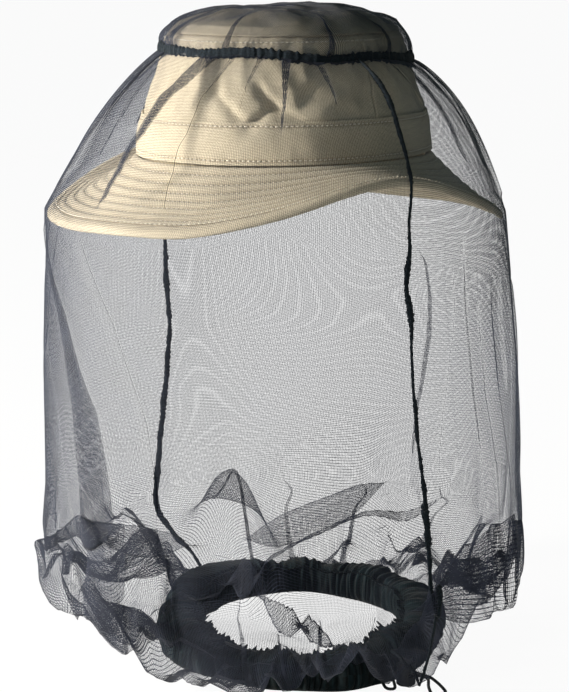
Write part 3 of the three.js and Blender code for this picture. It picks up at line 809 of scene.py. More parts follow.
def build_stitching():
    lines = [stitch_line(brim_top, share, 0.004, 0.5 * MM) for share in BRIM_ROW_SHARES[:-1]]
    lines.append(stitch_line(brim_top, BINDING_SHARE + 0.012, 0.004, 0.5 * MM, 1.6 * MM))
    lines += [stitch_line(band_surface, z, 0.5 * MM, 0.7 * MM) for z in BAND_STITCH_ROWS]
    lines.append(stitch_line(crown_surface, CROWN_TOP_Z - TOP_STITCH_DROP, 0.5 * MM, 0.0))
    vertices, faces = [], []
    total = 0
    for path, normal in lines:
        points, row_faces = stitch_row(path, normal)
        faces += [[index + total for index in face] for face in row_faces]
        vertices.append(points)
        total += len(points)
    piece = mesh_object("hat_stitching", np.concatenate(vertices), faces)
    finish_piece(piece, hat_thread, "hat", "hat_cotton")


# -------- veil: elastic and casing

CASING_OUT = 2.0 * MM
CASING_HALF_WIDTH = 1.5 * MM
CASING_HALF_HEIGHT = 3.4 * MM
CASING_KNOTS = [-114, 48, 128]  # degrees, where the casing is bunched thick
CASING_KNOT_REACH = 8  # degrees


def elastic_surface(angle, height):
    return crown_point(angle, elastic_z(angle) + height, CASING_OUT)


def build_elastic():
    """The crown elastic, and its casing shirred over it in uneven tucks."""
    columns, sides = 900, 16
    angle, turn = ring_grid(columns, sides)
    shirring = round_wobble(34, angle, 0.6 * np.cos(turn), seed=31)
    thick = 1 + 0.22 * round_wobble(3.1, angle, seed=33) + 0.3 * shirring
    for degrees in CASING_KNOTS:
        thick = thick + 0.55 * bell(degrees_from(angle, degrees) / CASING_KNOT_REACH)
    points = crown_point(angle, elastic_z(angle), CASING_OUT + CASING_HALF_WIDTH * thick * np.cos(turn))
    points[..., 2] += CASING_HALF_HEIGHT * thick * np.sin(turn)
    along = np.linspace(0, TAU, columns + 1) * CROWN_HALF.mean()
    across = np.linspace(0, 14 * MM, sides + 1)
    piece = sheet_object("veil_crown_casing", points, along, across, ring=True, tube=True)
    finish_piece(piece, seam_black, "veil", "seam_tape", "crown_elastic_casing")

    rows = np.linspace(-1.8 * MM, 1.8 * MM, 5)
    piece = ring_piece("veil_crown_elastic", rows, elastic_surface, 0.7 * MM, 300)
    finish_piece(piece, elastic_black, "veil", "elastic", "crown_elastic")


# -------- veil: how the net is gathered
#
# The net is one tube of cloth in two panels. A column is a line of threads down a panel. Levels run down
# the tube: 0 at the elastic, 1 at the brim's edge, 2 where the tube turns in, and 3 at the collar. A pleat
# is a group of columns that is folded over on itself, and its folds get wider or narrower from level to
# level. The rest of the panel shares out what is left of the ring.

PANEL_CLOTH = 521 * MM  # cloth across one panel, from seam to seam
COLUMN_STEP = 2.6 * MM
LEAST_FOLD = 0.7 * MM
LAYER_STEP = 0.4 * MM


class Pleat:
    """place is across the panel, 0 to 1. widths is the width of one fold, as pairs of level and mm."""

    def __init__(self, place, layers, *widths):
        self.middle = place * PANEL_CLOTH
        self.layers = layers
        self.levels, self.widths = zip(*widths)
        self.full = max(self.widths) * MM

    def width(self, levels):
        return np.interp(levels, self.levels, self.widths) * MM

    def closed(self, levels):
        """1 where the pleat is folded over, and 0 where it lies flat."""
        return smooth(LEAST_FOLD, 1.8 * LEAST_FOLD, self.width(levels))

    def folds(self, width):
        return self.middle + (np.arange(self.layers + 1) - self.layers / 2) * width

    def direction(self, column):
        """1 where the cloth runs forwards, -1 where it runs back and 0 outside the pleat."""
        step = (column - self.folds(self.full)[0]) / self.full
        inside = (step > 0) & (step < self.layers)
        return np.where(inside, np.clip(7 * np.sin(np.pi * step), -1, 1), 0.0), inside.astype(float)

    def stack(self, column):
        """Which layer a column lies in, fading to the single sheet on both sides."""
        half = self.layers * self.full / 2
        away = column - self.middle
        fade = np.exp(-np.clip(np.abs(away) - half, 0, None) / (7 * MM))
        return np.clip(away / half, -1, 1) * fade * self.layers


def wedge(place, layers, top, foot=0.0, until=1.0, sag=0.45):
    """A pleat that the elastic holds, top mm wide, and that tapers to nothing at the level until. It can open
    again towards the collar, to foot mm wide. sag is its share of width left a little above the middle."""
    widths = [(0, top), (0.45 * until, top * sag), (until, 0), (max(1.8, until + 0.1), 0), (3, 0)]
    if foot:
        widths[-1:] = [(2.0, 0.1 * foot), (2.35, 0.45 * foot), (3, foot)]
    return Pleat(place, layers, *widths)


FRONT_PLEATS = [
    wedge(0.07, 5, 6.5, 9),
    wedge(0.155, 3, 7, 11, 0.8),
    wedge(0.258, 5, 13, 13, 0.95, 0.65),
    wedge(0.335, 3, 3.4, 0, 0.95),
    Pleat(0.452, 3, (0, 0), (1.02, 0), (1.1, 5), (1.5, 26), (2, 35), (2.5, 35), (3, 22)),
    wedge(0.621, 5, 13.5, 0, 0.97, 0.42),
    wedge(0.722, 3, 4, 12, 0.35),
    wedge(0.78, 3, 4.5, 5, 0.3),
    wedge(0.845, 5, 6, 8, 0.7, 0.36),
    wedge(0.92, 3, 5, 7, 0.6, 0.35),
]
BACK_PLEATS = [
    wedge(0.06, 3, 3, 7, 0.8),
    Pleat(0.105, 3, (1.04, 0), (1.3, 3.2), (1.5, 3.6), (1.75, 0)),
    Pleat(0.14, 3, (1.15, 0), (1.5, 2.6), (1.9, 2.2), (2.2, 4), (3, 4)),
    wedge(0.183, 3, 4, 9, 0.9),
    Pleat(0.220, 3, (1.1, 0), (1.35, 2.2), (1.6, 0)),
    wedge(0.302, 5, 14.5, 10, 0.97, 0.68),
    Pleat(0.388, 3, (1.1, 0), (1.6, 5), (2.2, 0)),
    wedge(0.43, 3, 9, 6, 0.9),
    wedge(0.51, 5, 8, 8, 0.9),
    wedge(0.60, 3, 6, 12, 0.6),
    Pleat(0.650, 3, (1.1, 0), (1.5, 4), (2.0, 0)),
    wedge(0.72, 5, 9, 9, 1.0),
    wedge(0.82, 3, 7, 11, 0.8),
    wedge(0.92, 5, 6, 5, 0.9),
]
PANELS = [
    ("veil_net_back", BACK_PLEATS, 0, "veil_back_panel"),
    ("veil_net_front", FRONT_PLEATS, 1, "veil_front_panel"),
]


def column_places(pleats):
    """Places of the columns across a panel: even, and closer together at every fold."""
    places = [np.arange(0, PANEL_CLOTH + COLUMN_STEP / 2, COLUMN_STEP)]
    for pleat in pleats:
        near = np.array([-0.3, -0.16, -0.06, 0.06, 0.16, 0.3]) * min(pleat.full, 5 * MM)
        places += [fold + near for fold in pleat.folds(pleat.full)]
    merged = np.unique(np.round(np.clip(np.concatenate(places), 0, PANEL_CLOTH), 5))
    keep = np.concatenate([[True], np.diff(merged) > 0.06 * MM])
    return merged[keep]


def warp_columns(column, levels, pleats):
    """Where each column lies across the flat cloth at each level. Columns close in where folds get narrow."""

    def pleat_ends(widths):
        ends = [pleat.folds(width)[k] for pleat, width in zip(pleats, widths) for k in (0, -1)]
        return np.array([0, *ends, PANEL_CLOTH])

    marks = pleat_ends([pleat.full for pleat in pleats])
    assert np.all(np.diff(marks) > 0), "two pleats overlap"
    cloth = np.empty((len(column), len(levels)))
    for row, level in enumerate(levels):
        widths = [max(float(pleat.width(level)), LEAST_FOLD) for pleat in pleats]
        cloth[:, row] = np.interp(column, marks, pleat_ends(widths))
    return cloth


def oval_length(half):
    a, b = half
    ratio = ((a - b) / (a + b)) ** 2
    return np.pi * (a + b) * (1 + 3 * ratio / (10 + np.sqrt(4 - 3 * ratio)))


NET_PAST_BRIM = 3.0 * MM


def half_rings(levels):
    """Length of half the net's ring at each level."""
    elastic = CROWN_HALF * crown_scale(ELASTIC_Z) + CASING_OUT
    sizes = np.array([elastic, BRIM_HALF + NET_PAST_BRIM, CORNER_HALF, [COLLAR_JOIN_RADIUS] * 2])
    return oval_length([np.interp(levels, range(4), sizes[:, k]) for k in (0, 1)]) / 2


def gather(column, levels, pleats):
    """Lays columns round the ring: their share of the way round the panel, their layer and their cloth."""
    cloth = warp_columns(column, levels, pleats)
    steps = np.diff(cloth, axis=0)
    middles = (column[1:] + column[:-1]) / 2
    closed = np.array([pleat.closed(levels) for pleat in pleats])
    ways, insides = (np.array(found) for found in zip(*(pleat.direction(middles) for pleat in pleats)))
    folded = np.einsum("pc,pl->cl", ways, closed)
    used = np.einsum("pc,pl->cl", insides, closed)
    loose = (half_rings(levels) - (folded * steps).sum(axis=0)) / ((1 - used) * steps).sum(axis=0)
    moved = ((1 - used) * loose + folded) * steps
    place = np.concatenate([np.zeros((1, len(levels))), np.cumsum(moved, axis=0)])
    stacks = np.array([pleat.stack(column) for pleat in pleats])
    return place / place[-1], np.einsum("pc,pl->cl", stacks, closed), cloth


def seam_angle(levels, side):
    """Angle of the left (side 0) or right (side 1) seam at each level. The seams wander as they hang."""
    marks = [0, 1, 1.25, 1.5, 2, 3]
    left = [5.5, 2.3, -0.5, 0.5, 3.5, 6]
    right = [183, 181, 181.5, 180, 184, 182]
    return np.radians(np.interp(levels, marks, (left, right)[side]))


# How many degrees the middle of the back and front panels has swung round, at some levels.
SLANT_LEVELS = [0, 0.5, 1, 1.25, 1.5, 2, 3]
SLANTS = ([0, 5, 11, 10, 8, 6, 0], [0, 6, 19, -2, -15, -20, -8])


def angle_at(share, levels, side):
    """Angle round the net at a share of the way across a panel. The net slants as it hangs."""
    first = seam_angle(levels, side) - (TAU if side else 0)
    last = seam_angle(levels, 1 - side)
    slant = np.radians(np.interp(levels, SLANT_LEVELS, SLANTS[side]))
    return first + (last - first) * share - slant * np.sin(np.pi * np.clip(share, 0, 1)) ** 2


def curve_through(knots, place):
    """A smooth curve through evenly numbered knots, read at each place from 0 to the last number."""
    knots = np.asarray(knots, float)
    last = len(knots) - 1
    k = np.clip(np.floor(place).astype(int), 0, last - 1)
    t = np.asarray(place) - k
    if knots.ndim > 1:
        t = t[..., None]
    before, here = knots[np.clip(k - 1, 0, last)], knots[k]
    after, beyond = knots[k + 1], knots[np.clip(k + 2, 0, last)]
    return 0.5 * (
        2 * here + (after - before) * t
        + (2 * before - 5 * here + 4 * after - beyond) * t**2
        + (3 * here - before - 3 * after + beyond) * t**3
    )


# The net below its corner: share of the way in to the collar, and height.
FUNNEL_IN = [0.0, 0.13, 0.32, 0.55, 0.78, 0.95, 1.0]
FUNNEL_Z = [CORNER_Z, 46 * MM, 17 * MM, 5 * MM, 4 * MM, 15 * MM, COLLAR_JOIN_Z]


def collar_rise(angle):
    """How far the slumped collar stands off the floor: nothing at its low side, most across from it."""
    return COLLAR_RISE * (0.5 - 0.5 * np.cos(angle - COLLAR_LOW_SIDE)) ** 1.3


CONE_PUFF = 6.5 * MM


def net_surface(angle, level):
    """The hanging net's smooth surface, by angle and level."""
    angle, level = np.broadcast_arrays(angle, level)
    start = crown_point(angle, elastic_z(angle) - 1.5 * MM, CASING_OUT + 0.3 * MM)
    edge_flat = oval(BRIM_HALF + NET_PAST_BRIM, angle)
    edge_flat[..., 1] += BRIM_SHIFT
    edge = np.concatenate([edge_flat, (brim_edge_z(angle) + 0.5 * MM)[..., None]], axis=-1)
    corner = np.concatenate([oval(CORNER_HALF, angle), np.full_like(angle, CORNER_Z)[..., None]], axis=-1)
    join = COLLAR_CENTRE + oval((COLLAR_JOIN_RADIUS, COLLAR_JOIN_RADIUS), angle)
    lifted = collar_rise(angle) * np.clip(level - 2, 0, 1) ** 2

    share = np.clip(level, 0, 1)[..., None]
    cone = start + (edge - start) * share
    puff = CONE_PUFF * np.sin(np.pi * share[..., 0] ** 0.8) * (1 + 0.3 * np.sin(angle))
    cone += puff[..., None] * (outwards(angle) + [0, 0, 1])
    share = np.clip(level - 1, 0, 1)[..., None]
    tube = edge + (corner - edge) * share
    tube[..., :2] = edge[..., :2] + (corner[..., :2] - edge[..., :2]) * share**0.85
    place = np.clip(level - 2, 0, 1) * (len(FUNNEL_IN) - 1)
    inwards = np.clip(curve_through(FUNNEL_IN, place), 0, 1)[..., None]
    flat = corner[..., :2] + (join - corner[..., :2]) * inwards
    funnel = np.concatenate([flat, (curve_through(FUNNEL_Z, place) + lifted)[..., None]], axis=-1)
    above, hanging = (level <= 1)[..., None], (level <= 2)[..., None]
    return np.where(above, cone, np.where(hanging, tube, funnel))


# Folds across the net, where the cloth doubles back on itself along a line round the tube. A tuck is deepest
# at its angle, dies away its reach to each side in degrees, and climbs by its slant in levels per degree.
# Over its length in levels it moves the cloth up and down by its depth, and in and out by its bulge, in mm.
TUCKS = [
    # angle, reach, level, slant, depth, length, bulge
    (-24, 17, 1.745, -0.0032, 30, 0.075, 4.0),
    (-22, 30, 1.86, -0.0036, 12, 0.030, -2.5),
    (-92, 30, 1.86, -0.0058, 10, 0.028, 2.5),
    (-70, 17, 1.83, -0.0006, 20, 0.050, -3.5),
    (28, 24, 2.03, 0.0008, 25, 0.060, 4.0),
    (24, 22, 2.06, 0.0006, 20, 0.030, -3.0),
    (-34, 13, 2.01, 0.0120, 12, 0.024, -2.5),
    (-96, 22, 2.24, 0.0, 20, 0.055, 3.0),
    (-106, 18, 2.12, 0.001, 14, 0.035, -3.0),
]

# Places where the slack foot of the net stands up in a soft point.
PEAKS = [
    # angle and reach in degrees, level and length in levels, height in mm
    (168, 14, 2.42, 0.22, 86),
    (-138, 28, 2.72, 0.18, 40),
    (56, 40, 2.72, 0.18, 38),
    (-158, 12, 2.34, 0.20, 44),
    (-132, 9, 2.50, 0.24, 40),
    (-116, 13, 2.32, 0.20, 38),
    (-92, 9, 2.48, 0.22, 34),
    (-62, 12, 2.30, 0.20, 18),
    (-34, 9, 2.42, 0.20, 22),
    (-14, 9, 2.50, 0.22, 26),
    (29, 10, 2.50, 0.26, 54),
    (50, 11, 2.42, 0.26, 50),
    (74, 10, 2.30, 0.20, 48),
    (98, 9, 2.52, 0.24, 40),
    (124, 12, 2.40, 0.22, 30),
]
TALL_PEAK_LEAN = 6 * MM  # how far the first, tallest peak leans inwards
CALM_REACH = 22  # degrees to each side of the tallest peak where the foot isn't crumpled


def ridged(*coordinates, seed):
    """Noise with sharp ridges and smooth hollows between them, about -1 to 1, like crumpled cloth."""
    coarse = 1 - 2.2 * np.abs(wobble(*coordinates, seed=seed))
    fine = 1 - 2.2 * np.abs(wobble(*(2.3 * c for c in coordinates), seed=seed + 5))
    return 0.85 * coarse + 0.15 * fine


def shape_foot(points, angle, level):
    """Adds the tucks, the standing peaks and soft creases to the net's hanging surface."""
    out, up = np.zeros_like(angle), np.zeros_like(angle)
    for degrees, reach, middle, slant, depth, length, bulge in TUCKS:
        away = degrees_from(angle, degrees)
        t = (level - middle - slant * away) / length
        wave = plateau(away / reach) * t * np.exp(0.5 - t**2 / 2)
        up += depth * MM * wave
        out += bulge * MM * wave
    for degrees, reach, middle, length, height in PEAKS:
        away = np.abs(degrees_from(angle, degrees) / reach)
        near = np.exp(-(away**2.2) - ((level - middle) / length) ** 2)
        up += height * MM * near
        if degrees == PEAKS[0][0]:
            out -= TALL_PEAK_LEAN * near
    calm = 1 - plateau(degrees_from(angle, PEAKS[0][0]) / CALM_REACH)
    swell = 3.4 * MM * round_wobble(2.2, angle, 1.5 * level, seed=43)
    across, ahead = 5 * np.cos(angle) + 0.9 * level, 5 * np.sin(angle) - 0.7 * level
    crumple = ridged(across, ahead, 2.0 * level, seed=47)
    foot = smooth(1.65, 2.15, level) * smooth(3.0, 2.75, level)
    out += swell * smooth(1.0, 1.45, level) * smooth(3.0, 2.6, level)
    out += 6.0 * MM * crumple * foot * smooth(2.6, 2.0, level)
    up += 13 * MM * np.clip(crumple + 0.25, 0, None) * foot * smooth(1.95, 2.25, level) * calm
    points = points + outwards(angle) * out[..., None]
    points[..., 2] += up
    return points


RIPPLE_REACH = 0.2  # levels down from the elastic, where its ripples have mostly died away


def net_points(column, levels, pleats, side):
    """Points of a panel's net, columns by rows, and each column's place across the flat cloth."""
    share, stack, cloth = gather(column, levels, pleats)
    angle = angle_at(share, levels, side)
    level = np.broadcast_to(levels, angle.shape)
    points = shape_foot(net_surface(angle, level), angle, level)
    edge_fade = np.clip(np.minimum(column, PANEL_CLOTH - column) / (6 * MM), 0, 1)[:, None]
    across = (column + side * PANEL_CLOTH)[:, None]
    wave = np.sin(across * TAU / (8.5 * MM) + 3 * wobble(across / (40 * MM), seed=41))
    ripple = 0.8 * MM * wave * np.exp(-level / RIPPLE_REACH) * edge_fade
    lying = smooth(2.15, 2.5, level) * smooth(3.0, 2.85, level)
    points = points + outwards(angle) * (stack * LAYER_STEP * (1 - lying) + ripple)[..., None]
    points[..., 2] += stack * LAYER_STEP * lying
    return points, cloth


NET_LEVELS = np.concatenate([
    np.linspace(0, 1, 40)[:-1], np.linspace(1, 1.6, 40)[:-1], np.linspace(1.6, 2.1, 50)[:-1],
    np.linspace(2.1, 3, 60),
])


# Room for the cord lock under the net: its middle past the lock, its reach along the lock's line and across
# it, and its height above the lock.
LOCK_ROOM_MIDDLE = 8 * MM
LOCK_ROOM_REACH = (30 * MM, 17 * MM)
LOCK_ROOM_ABOVE = 6 * MM
NET_OFF_FLOOR = 0.6 * MM


def keep_clear(points):
    """Keeps the net off the floor, and clear of the cord lock and the room it slides through."""
    offset = points[..., :2] - COLLAR_CENTRE
    along = offset @ [math.cos(LOCK_ANGLE), math.sin(LOCK_ANGLE)]
    across = offset @ [-math.sin(LOCK_ANGLE), math.cos(LOCK_ANGLE)]
    middle = LOCK_DISTANCE + LOCK_ROOM_MIDDLE
    near = plateau((along - middle) / LOCK_ROOM_REACH[0]) * plateau(across / LOCK_ROOM_REACH[1])
    lowest = (LOCK_HEIGHT + LOCK_ROOM_ABOVE) * near
    points[..., 2] = np.maximum(points[..., 2], np.maximum(lowest, NET_OFF_FLOOR))
    return points


def hang(piece, material, node):
    """Gives a piece of net its material, hides its CAD part, and bakes its place into its mesh."""
    piece.data.materials.append(material)
    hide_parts(node)
    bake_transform(piece)


def lay_cloth(piece, cloth):
    """Writes cloth coordinates, one pair for each vertex."""
    corners = np.empty(len(piece.data.loops), int)
    piece.data.loops.foreach_get("vertex_index", corners)
    layer = piece.data.uv_layers.get("cloth") or piece.data.uv_layers.new(name="cloth")
    layer.data.foreach_set("uv", cloth.reshape(-1, 2)[corners].astype(np.float32).ravel())


def build_net():
    """The two net panels. Returns each panel's first column, which is a seam."""
    seams = []
    for name, pleats, side, node in PANELS:
        column = column_places(pleats)
        points, cloth = net_points(column, NET_LEVELS, pleats, side)
        points = keep_clear(points)
        down = np.linalg.norm(np.diff(points, axis=1), axis=2).mean(axis=0)
        fallen = np.broadcast_to(np.concatenate([[0], np.cumsum(down)]), cloth.shape)
        piece = sheet_object(name, points, column, fallen[0])
        lay_cloth(piece, np.stack([cloth, fallen], axis=-1))
        hang(piece, net_black, node)
        seams.append(points[0])
    return seams


SEAM_HALF_WIDTH = 1.75 * MM


def build_seams(lines):
    """The two overlocked seams: fuzzy uneven ropes of thread down the panels' joined edges."""
    plans = [("veil_left_seam", "veil_left_seam_tape", 51), ("veil_right_seam", "veil_right_seam_tape", 57)]
    for (name, node, seed), line in zip(plans, lines):
        lengths = arc_lengths(line)
        place = np.linspace(0, lengths[-1], int(lengths[-1] / (0.9 * MM)))
        path = np.stack([np.interp(place, lengths, line[:, k]) for k in range(3)], axis=-1)
        side, outward = frame_along(path, path * [1, 1, 0])
        turn = np.linspace(0, TAU, 12, endpoint=False)
        long_waves, short_waves = place / (55 * MM), place / (9 * MM)
        swell = 1 + (0.5 * wobble(long_waves, seed=seed + 3) + 0.3 * wobble(short_waves, seed=seed + 1))
        round_turn = 2 * np.cos(turn)[None], 2 * np.sin(turn)[None]
        tuft = 1 + 0.4 * wobble((place / (1.5 * MM))[:, None], *round_turn, seed=seed)
        half_width = SEAM_HALF_WIDTH * np.clip(swell, 0.55, 2.2)[:, None] * tuft
        half_depth = 0.7 * SEAM_HALF_WIDTH * np.clip(swell, 0.7, 1.5)[:, None] * tuft
        centre = path + side * (1.2 * MM * wobble(place / (24 * MM), seed=seed))[:, None]
        rim = side[:, None] * (half_width * np.cos(turn))[..., None]
        rim = rim + outward[:, None] * (half_depth * np.sin(turn))[..., None]
        points = centre[:, None] + rim
        points[..., 2] = np.maximum(points[..., 2], 0.3 * MM)
        piece = rope_object(name, points, place, 7 * MM)
        hang(piece, seam_black, node)


# -------- veil: the round net over the crown

TOP_NET_GAP = 1.9 * MM
TOP_NET_BEND = 0.72  # share of the way out where the net turns down the crown's side
TOP_NET_CLOTH = 128 * MM  # from the middle of the round panel to its edge
# Pleats of the round net, as angle and width in degrees.
TOP_PLEATS = [
    (-150, 5), (-122, 4), (-96, 6), (-57, 2.5), (-9, 3), (24, 4), (62, 5), (101, 4), (140, 5), (178, 4),
]


def fold_top_net(angle, share):
    """Folds the round net into its pleats: the turned angle, and how far the cloth is raised."""
    turned, raised = angle.copy(), np.zeros_like(angle)
    for degrees, width in TOP_PLEATS:
        opened = width * np.clip((share - 0.3) / 0.7, 0.02, 1)
        away = degrees_from(angle - 0.12 * (1 - share), degrees) / opened
        wave = away * np.exp(0.5 - away**2 / 2)
        turned -= np.radians(opened) * 1.5 * wave * smooth(0.3, 0.45, share)
        raised += LAYER_STEP * 2 * wave * smooth(0.3, 0.6, share)
    return turned, raised


def build_top_net():
    """The round net over the crown, tucked into the elastic."""
    columns, rows = 900, 69
    angles = np.linspace(0, TAU, columns, endpoint=False)
    angle, share = np.meshgrid(angles, np.linspace(0, 1, rows + 1)[1:], indexing="ij")
    turned, raised = fold_top_net(angle, share)
    dome_share = np.clip(share / TOP_NET_BEND, 0, 1) * TOP_RIM_SHARE
    flat = oval(CROWN_HALF, turned) * dome_share[..., None]
    soft = 0.7 * MM + np.maximum(top_relief(flat[..., 0], flat[..., 1]), -1.5 * MM)
    soft += 0.6 * MM * wobble(flat[..., 0] / (50 * MM), flat[..., 1] / (50 * MM), seed=61)
    dome = np.concatenate([flat, (dome_height(dome_share) + TOP_NET_GAP + soft)[..., None]], axis=-1)
    down = np.clip((share - TOP_NET_BEND) / (1 - TOP_NET_BEND), 0, 1)
    rim_z = DOME_RIM_Z + TOP_NET_GAP + soft
    side_z = rim_z + (elastic_z(turned) + 1.5 * MM - rim_z) * down
    slack = TOP_NET_GAP + 2.0 * MM * np.sin(np.pi * down) * (1.2 + round_wobble(1, turned, seed=63))
    side = crown_point(turned, side_z, slack)
    points = np.where((share <= TOP_NET_BEND)[..., None], dome, side)
    pucker = 0.5 * MM * np.sin(70 * angle + 3 * np.sin(7 * angle)) * smooth(0.86, 1.0, share)
    points = points + outwards(turned) * (raised + pucker)[..., None]

    vertices = [*points.reshape(-1, 3), (0, 0, DOME_TOP_Z + TOP_NET_GAP)]
    fan = [[c * rows, (c + 1) % columns * rows, columns * rows] for c in range(columns)]
    piece = mesh_object("veil_net_top", vertices, grid_faces(columns, rows, ring=True).tolist() + fan)
    cloth = oval((TOP_NET_CLOTH, TOP_NET_CLOTH), angle) * share[..., None]
    lay_cloth(piece, np.array([*cloth.reshape(-1, 2), (0, 0)]))
    finish_piece(piece, net_black_drawn_up, "veil", "net", "veil_top_panel")


# -------- collar

GATHERS = 96
COLLAR_HEIGHT = 0.66 * COLLAR_TOP_Z
# Where the slumped collar is thickest: angle and reach in degrees, and share of thickness added.
COLLAR_LUMPS = [(-150, 32, 0.34), (-95, 16, 0.12), (12, 18, 0.2), (62, 26, 0.3)]
FRILL_TURN = 2.35  # radians round the collar's section, where its heading stands
FRILL_LENGTH = (2.5 * MM, 4.0 * MM)  # shortest, and how much longer some teeth are


def collar_shape(angle, turn):
    """The gathered tube of the collar, uneven as it slumps: turn runs round its section."""
    lean = 1 + round_wobble(1.9, angle, seed=71)
    plump = 1 + 0.16 * round_wobble(2.7, angle, seed=75)
    for degrees, reach, extra in COLLAR_LUMPS:
        plump = plump + extra * bell(degrees_from(angle, degrees) / reach)
    phase = GATHERS * angle + 7 * round_wobble(5, angle, 0.8 * np.cos(turn), seed=73)
    phase = phase + 1.6 * np.sin(turn + 2 * np.cos(angle))
    uneven = np.clip(0.8 + 0.9 * round_wobble(13, angle, 0.6 * np.sin(turn), seed=77), 0.1, 1.7)
    free = smooth(-0.95, -0.4, np.sin(turn))
    ripple = (np.abs(np.sin(phase / 2)) - 0.6) * 2.6 * MM * uneven * free
    crush = 1.3 * MM * round_wobble(20, angle, np.sin(turn), seed=81) * free
    wide = (0.9 * COLLAR_TUBE_HALF * plump + ripple + crush) * squared(np.cos(turn), 0.8)
    up = (COLLAR_HEIGHT / 2 * plump + 0.6 * ripple + crush) * squared(np.sin(turn), 0.8)
    radius = COLLAR_RADIUS + 2.5 * MM * lean + 7 * MM * (plump - 1) + wide - 0.1 * up * lean
    z = np.clip(COLLAR_HEIGHT / 2 * plump + up + collar_rise(angle), 0.3 * MM, COLLAR_TOP_Z + 4 * MM)
    flat = COLLAR_CENTRE + oval((1, 1), angle) * radius[..., None]
    return np.concatenate([flat, z[..., None]], axis=-1)


def build_collar():
    columns, sides = 1300, 34
    turns = np.linspace(0, TAU, sides, endpoint=False)
    halves = [
        ("collar_ruche_front", -np.pi, LOCK_ANGLE, "collar_casing_front"),
        ("collar_ruche_back", LOCK_ANGLE, np.pi, "collar_casing_back"),
    ]
    for name, first, last, node in halves:
        angles = np.linspace(first, last, int(columns * (last - first) / TAU))
        angle, turn = np.meshgrid(angles, turns, indexing="ij")
        piece = rope_object(name, collar_shape(angle, turn), angles * COLLAR_RADIUS, 96 * MM)
        finish_piece(piece, collar_shaded_black, "collar", "collar_cloth", node)


def build_heading():
    """The heading: a frilled edge that stands inside the collar's upper rim."""
    columns, rows = 1700, 7
    angles = np.linspace(0, TAU, columns, endpoint=False)
    angle, step = np.meshgrid(angles, np.linspace(0, 1, rows), indexing="ij")
    wave = 1.3 * MM * round_wobble(44, angle, step * 0.8, seed=83) * step
    teeth = np.clip(0.5 + 0.5 * round_wobble(26, angle, seed=87), 0, 1)
    length = FRILL_LENGTH[0] + FRILL_LENGTH[1] * teeth
    points = collar_shape(angle, np.full_like(angle, FRILL_TURN))
    points -= outwards(angle) * (0.95 * length * step + wave)[..., None]
    points[..., 2] += 0.35 * length * step**1.5 + wave - 0.5 * MM
    along = np.linspace(0, TAU, columns + 1) * COLLAR_RADIUS
    piece = sheet_object("collar_heading_frill", points, along, np.linspace(0, 7 * MM, rows), ring=True)
    thicken(piece, 0.35 * MM)
    finish_piece(piece, collar_shaded_black, "collar", "collar_cloth")


# -------- drawcord

CORD_RADIUS = 1.05 * MM
STRAND_HALF_PITCH = 1.4 * MM
STRAND_Z = 10.3 * MM
LOCK_TRAVEL = 12 * MM
CORD_RING_SHARE = 0.97  # of the collar's radius
CORD_RING_Z = 13 * MM
CORD_SEAM_GAP = 0.08  # radians between the cord's two ends
CORD_LOCK_GAP = 0.24  # radians from the lock's line to where the cord leaves the ring


def lock_place(along, across, z):
    """A point measured from the collar's centre along the cord lock's line, in millimetres."""
    way = np.array([math.cos(LOCK_ANGLE), math.sin(LOCK_ANGLE)])
    side = np.array([-way[1], way[0]])
    flat = COLLAR_CENTRE + way * along * MM + side * across * MM
    return np.array([*flat, z * MM])


def cord_knots():
    """Places along the cord: from the right seam round the collar, out through the lock, a loop, and back.
    Each is along the lock's line, across it and up, in mm."""
    lock, strand, height = LOCK_DISTANCE / MM, STRAND_HALF_PITCH / MM, STRAND_Z / MM
    radius = CORD_RING_SHARE * COLLAR_RADIUS / MM
    ring = []
    for turn in np.linspace(np.pi - CORD_SEAM_GAP, CORD_LOCK_GAP, 21):
        rise = float(collar_rise(np.array(LOCK_ANGLE + turn))) / MM
        ring.append((radius * math.cos(turn), radius * math.sin(turn), CORD_RING_Z / MM + rise))
    slack = lock + 6.5 + LOCK_TRAVEL / MM
    straight = np.linspace(lock - 8, slack + 3, 6)
    inside = [(lock - 20, 5, height + 1), (lock - 13, 2, height + 1)]
    hanging = [
        (lock - 19, -9, 12), (lock - 10, -14, 6), (lock - 2, -17, 1.6),
        (lock + 2.5, -13.5, 1.5), (lock - 3, -8.5, 3.5), (lock - 11, -4.2, 8),
    ]
    loop = [
        (slack + 6, 5.0, 6.5), (slack + 8.5, 8.0, 2.4), (slack + 12, 6.2, 1.4),
        (slack + 12.5, 1.5, 1.3), (slack + 9.5, -3.5, 1.6), (slack + 5.8, -3.4, 5.5),
    ]
    back = [*ring, *inside, *((along, strand, height) for along in straight)]
    front = [*((a, -s, z) for a, s, z in ring), *hanging, *((along, -strand, height) for along in straight)]
    return [*back, *loop, *front[::-1]]


def build_cord():
    knots = np.array([lock_place(*knot) for knot in cord_knots()])
    path = curve_through(knots, np.linspace(0, len(knots) - 1, 1400))
    path[:, 2] = np.maximum(path[:, 2], CORD_RADIUS + 0.1 * MM)
    side, up = frame_along(path, [0, 0, 1])
    turn = np.linspace(0, TAU, 12, endpoint=False)
    rim = side[:, None] * np.cos(turn)[:, None] + up[:, None] * np.sin(turn)[:, None]
    place = arc_lengths(path)
    braid = 1 + 0.05 * np.sin(place[:, None] * TAU / (1.7 * MM) + 3 * turn[None])
    points = path[:, None] + rim * (CORD_RADIUS * braid)[..., None]
    piece = rope_object("collar_cord", points, place, 6.6 * MM)
    finish_piece(piece, elastic_black, "collar", "elastic", "collar_drawcord")


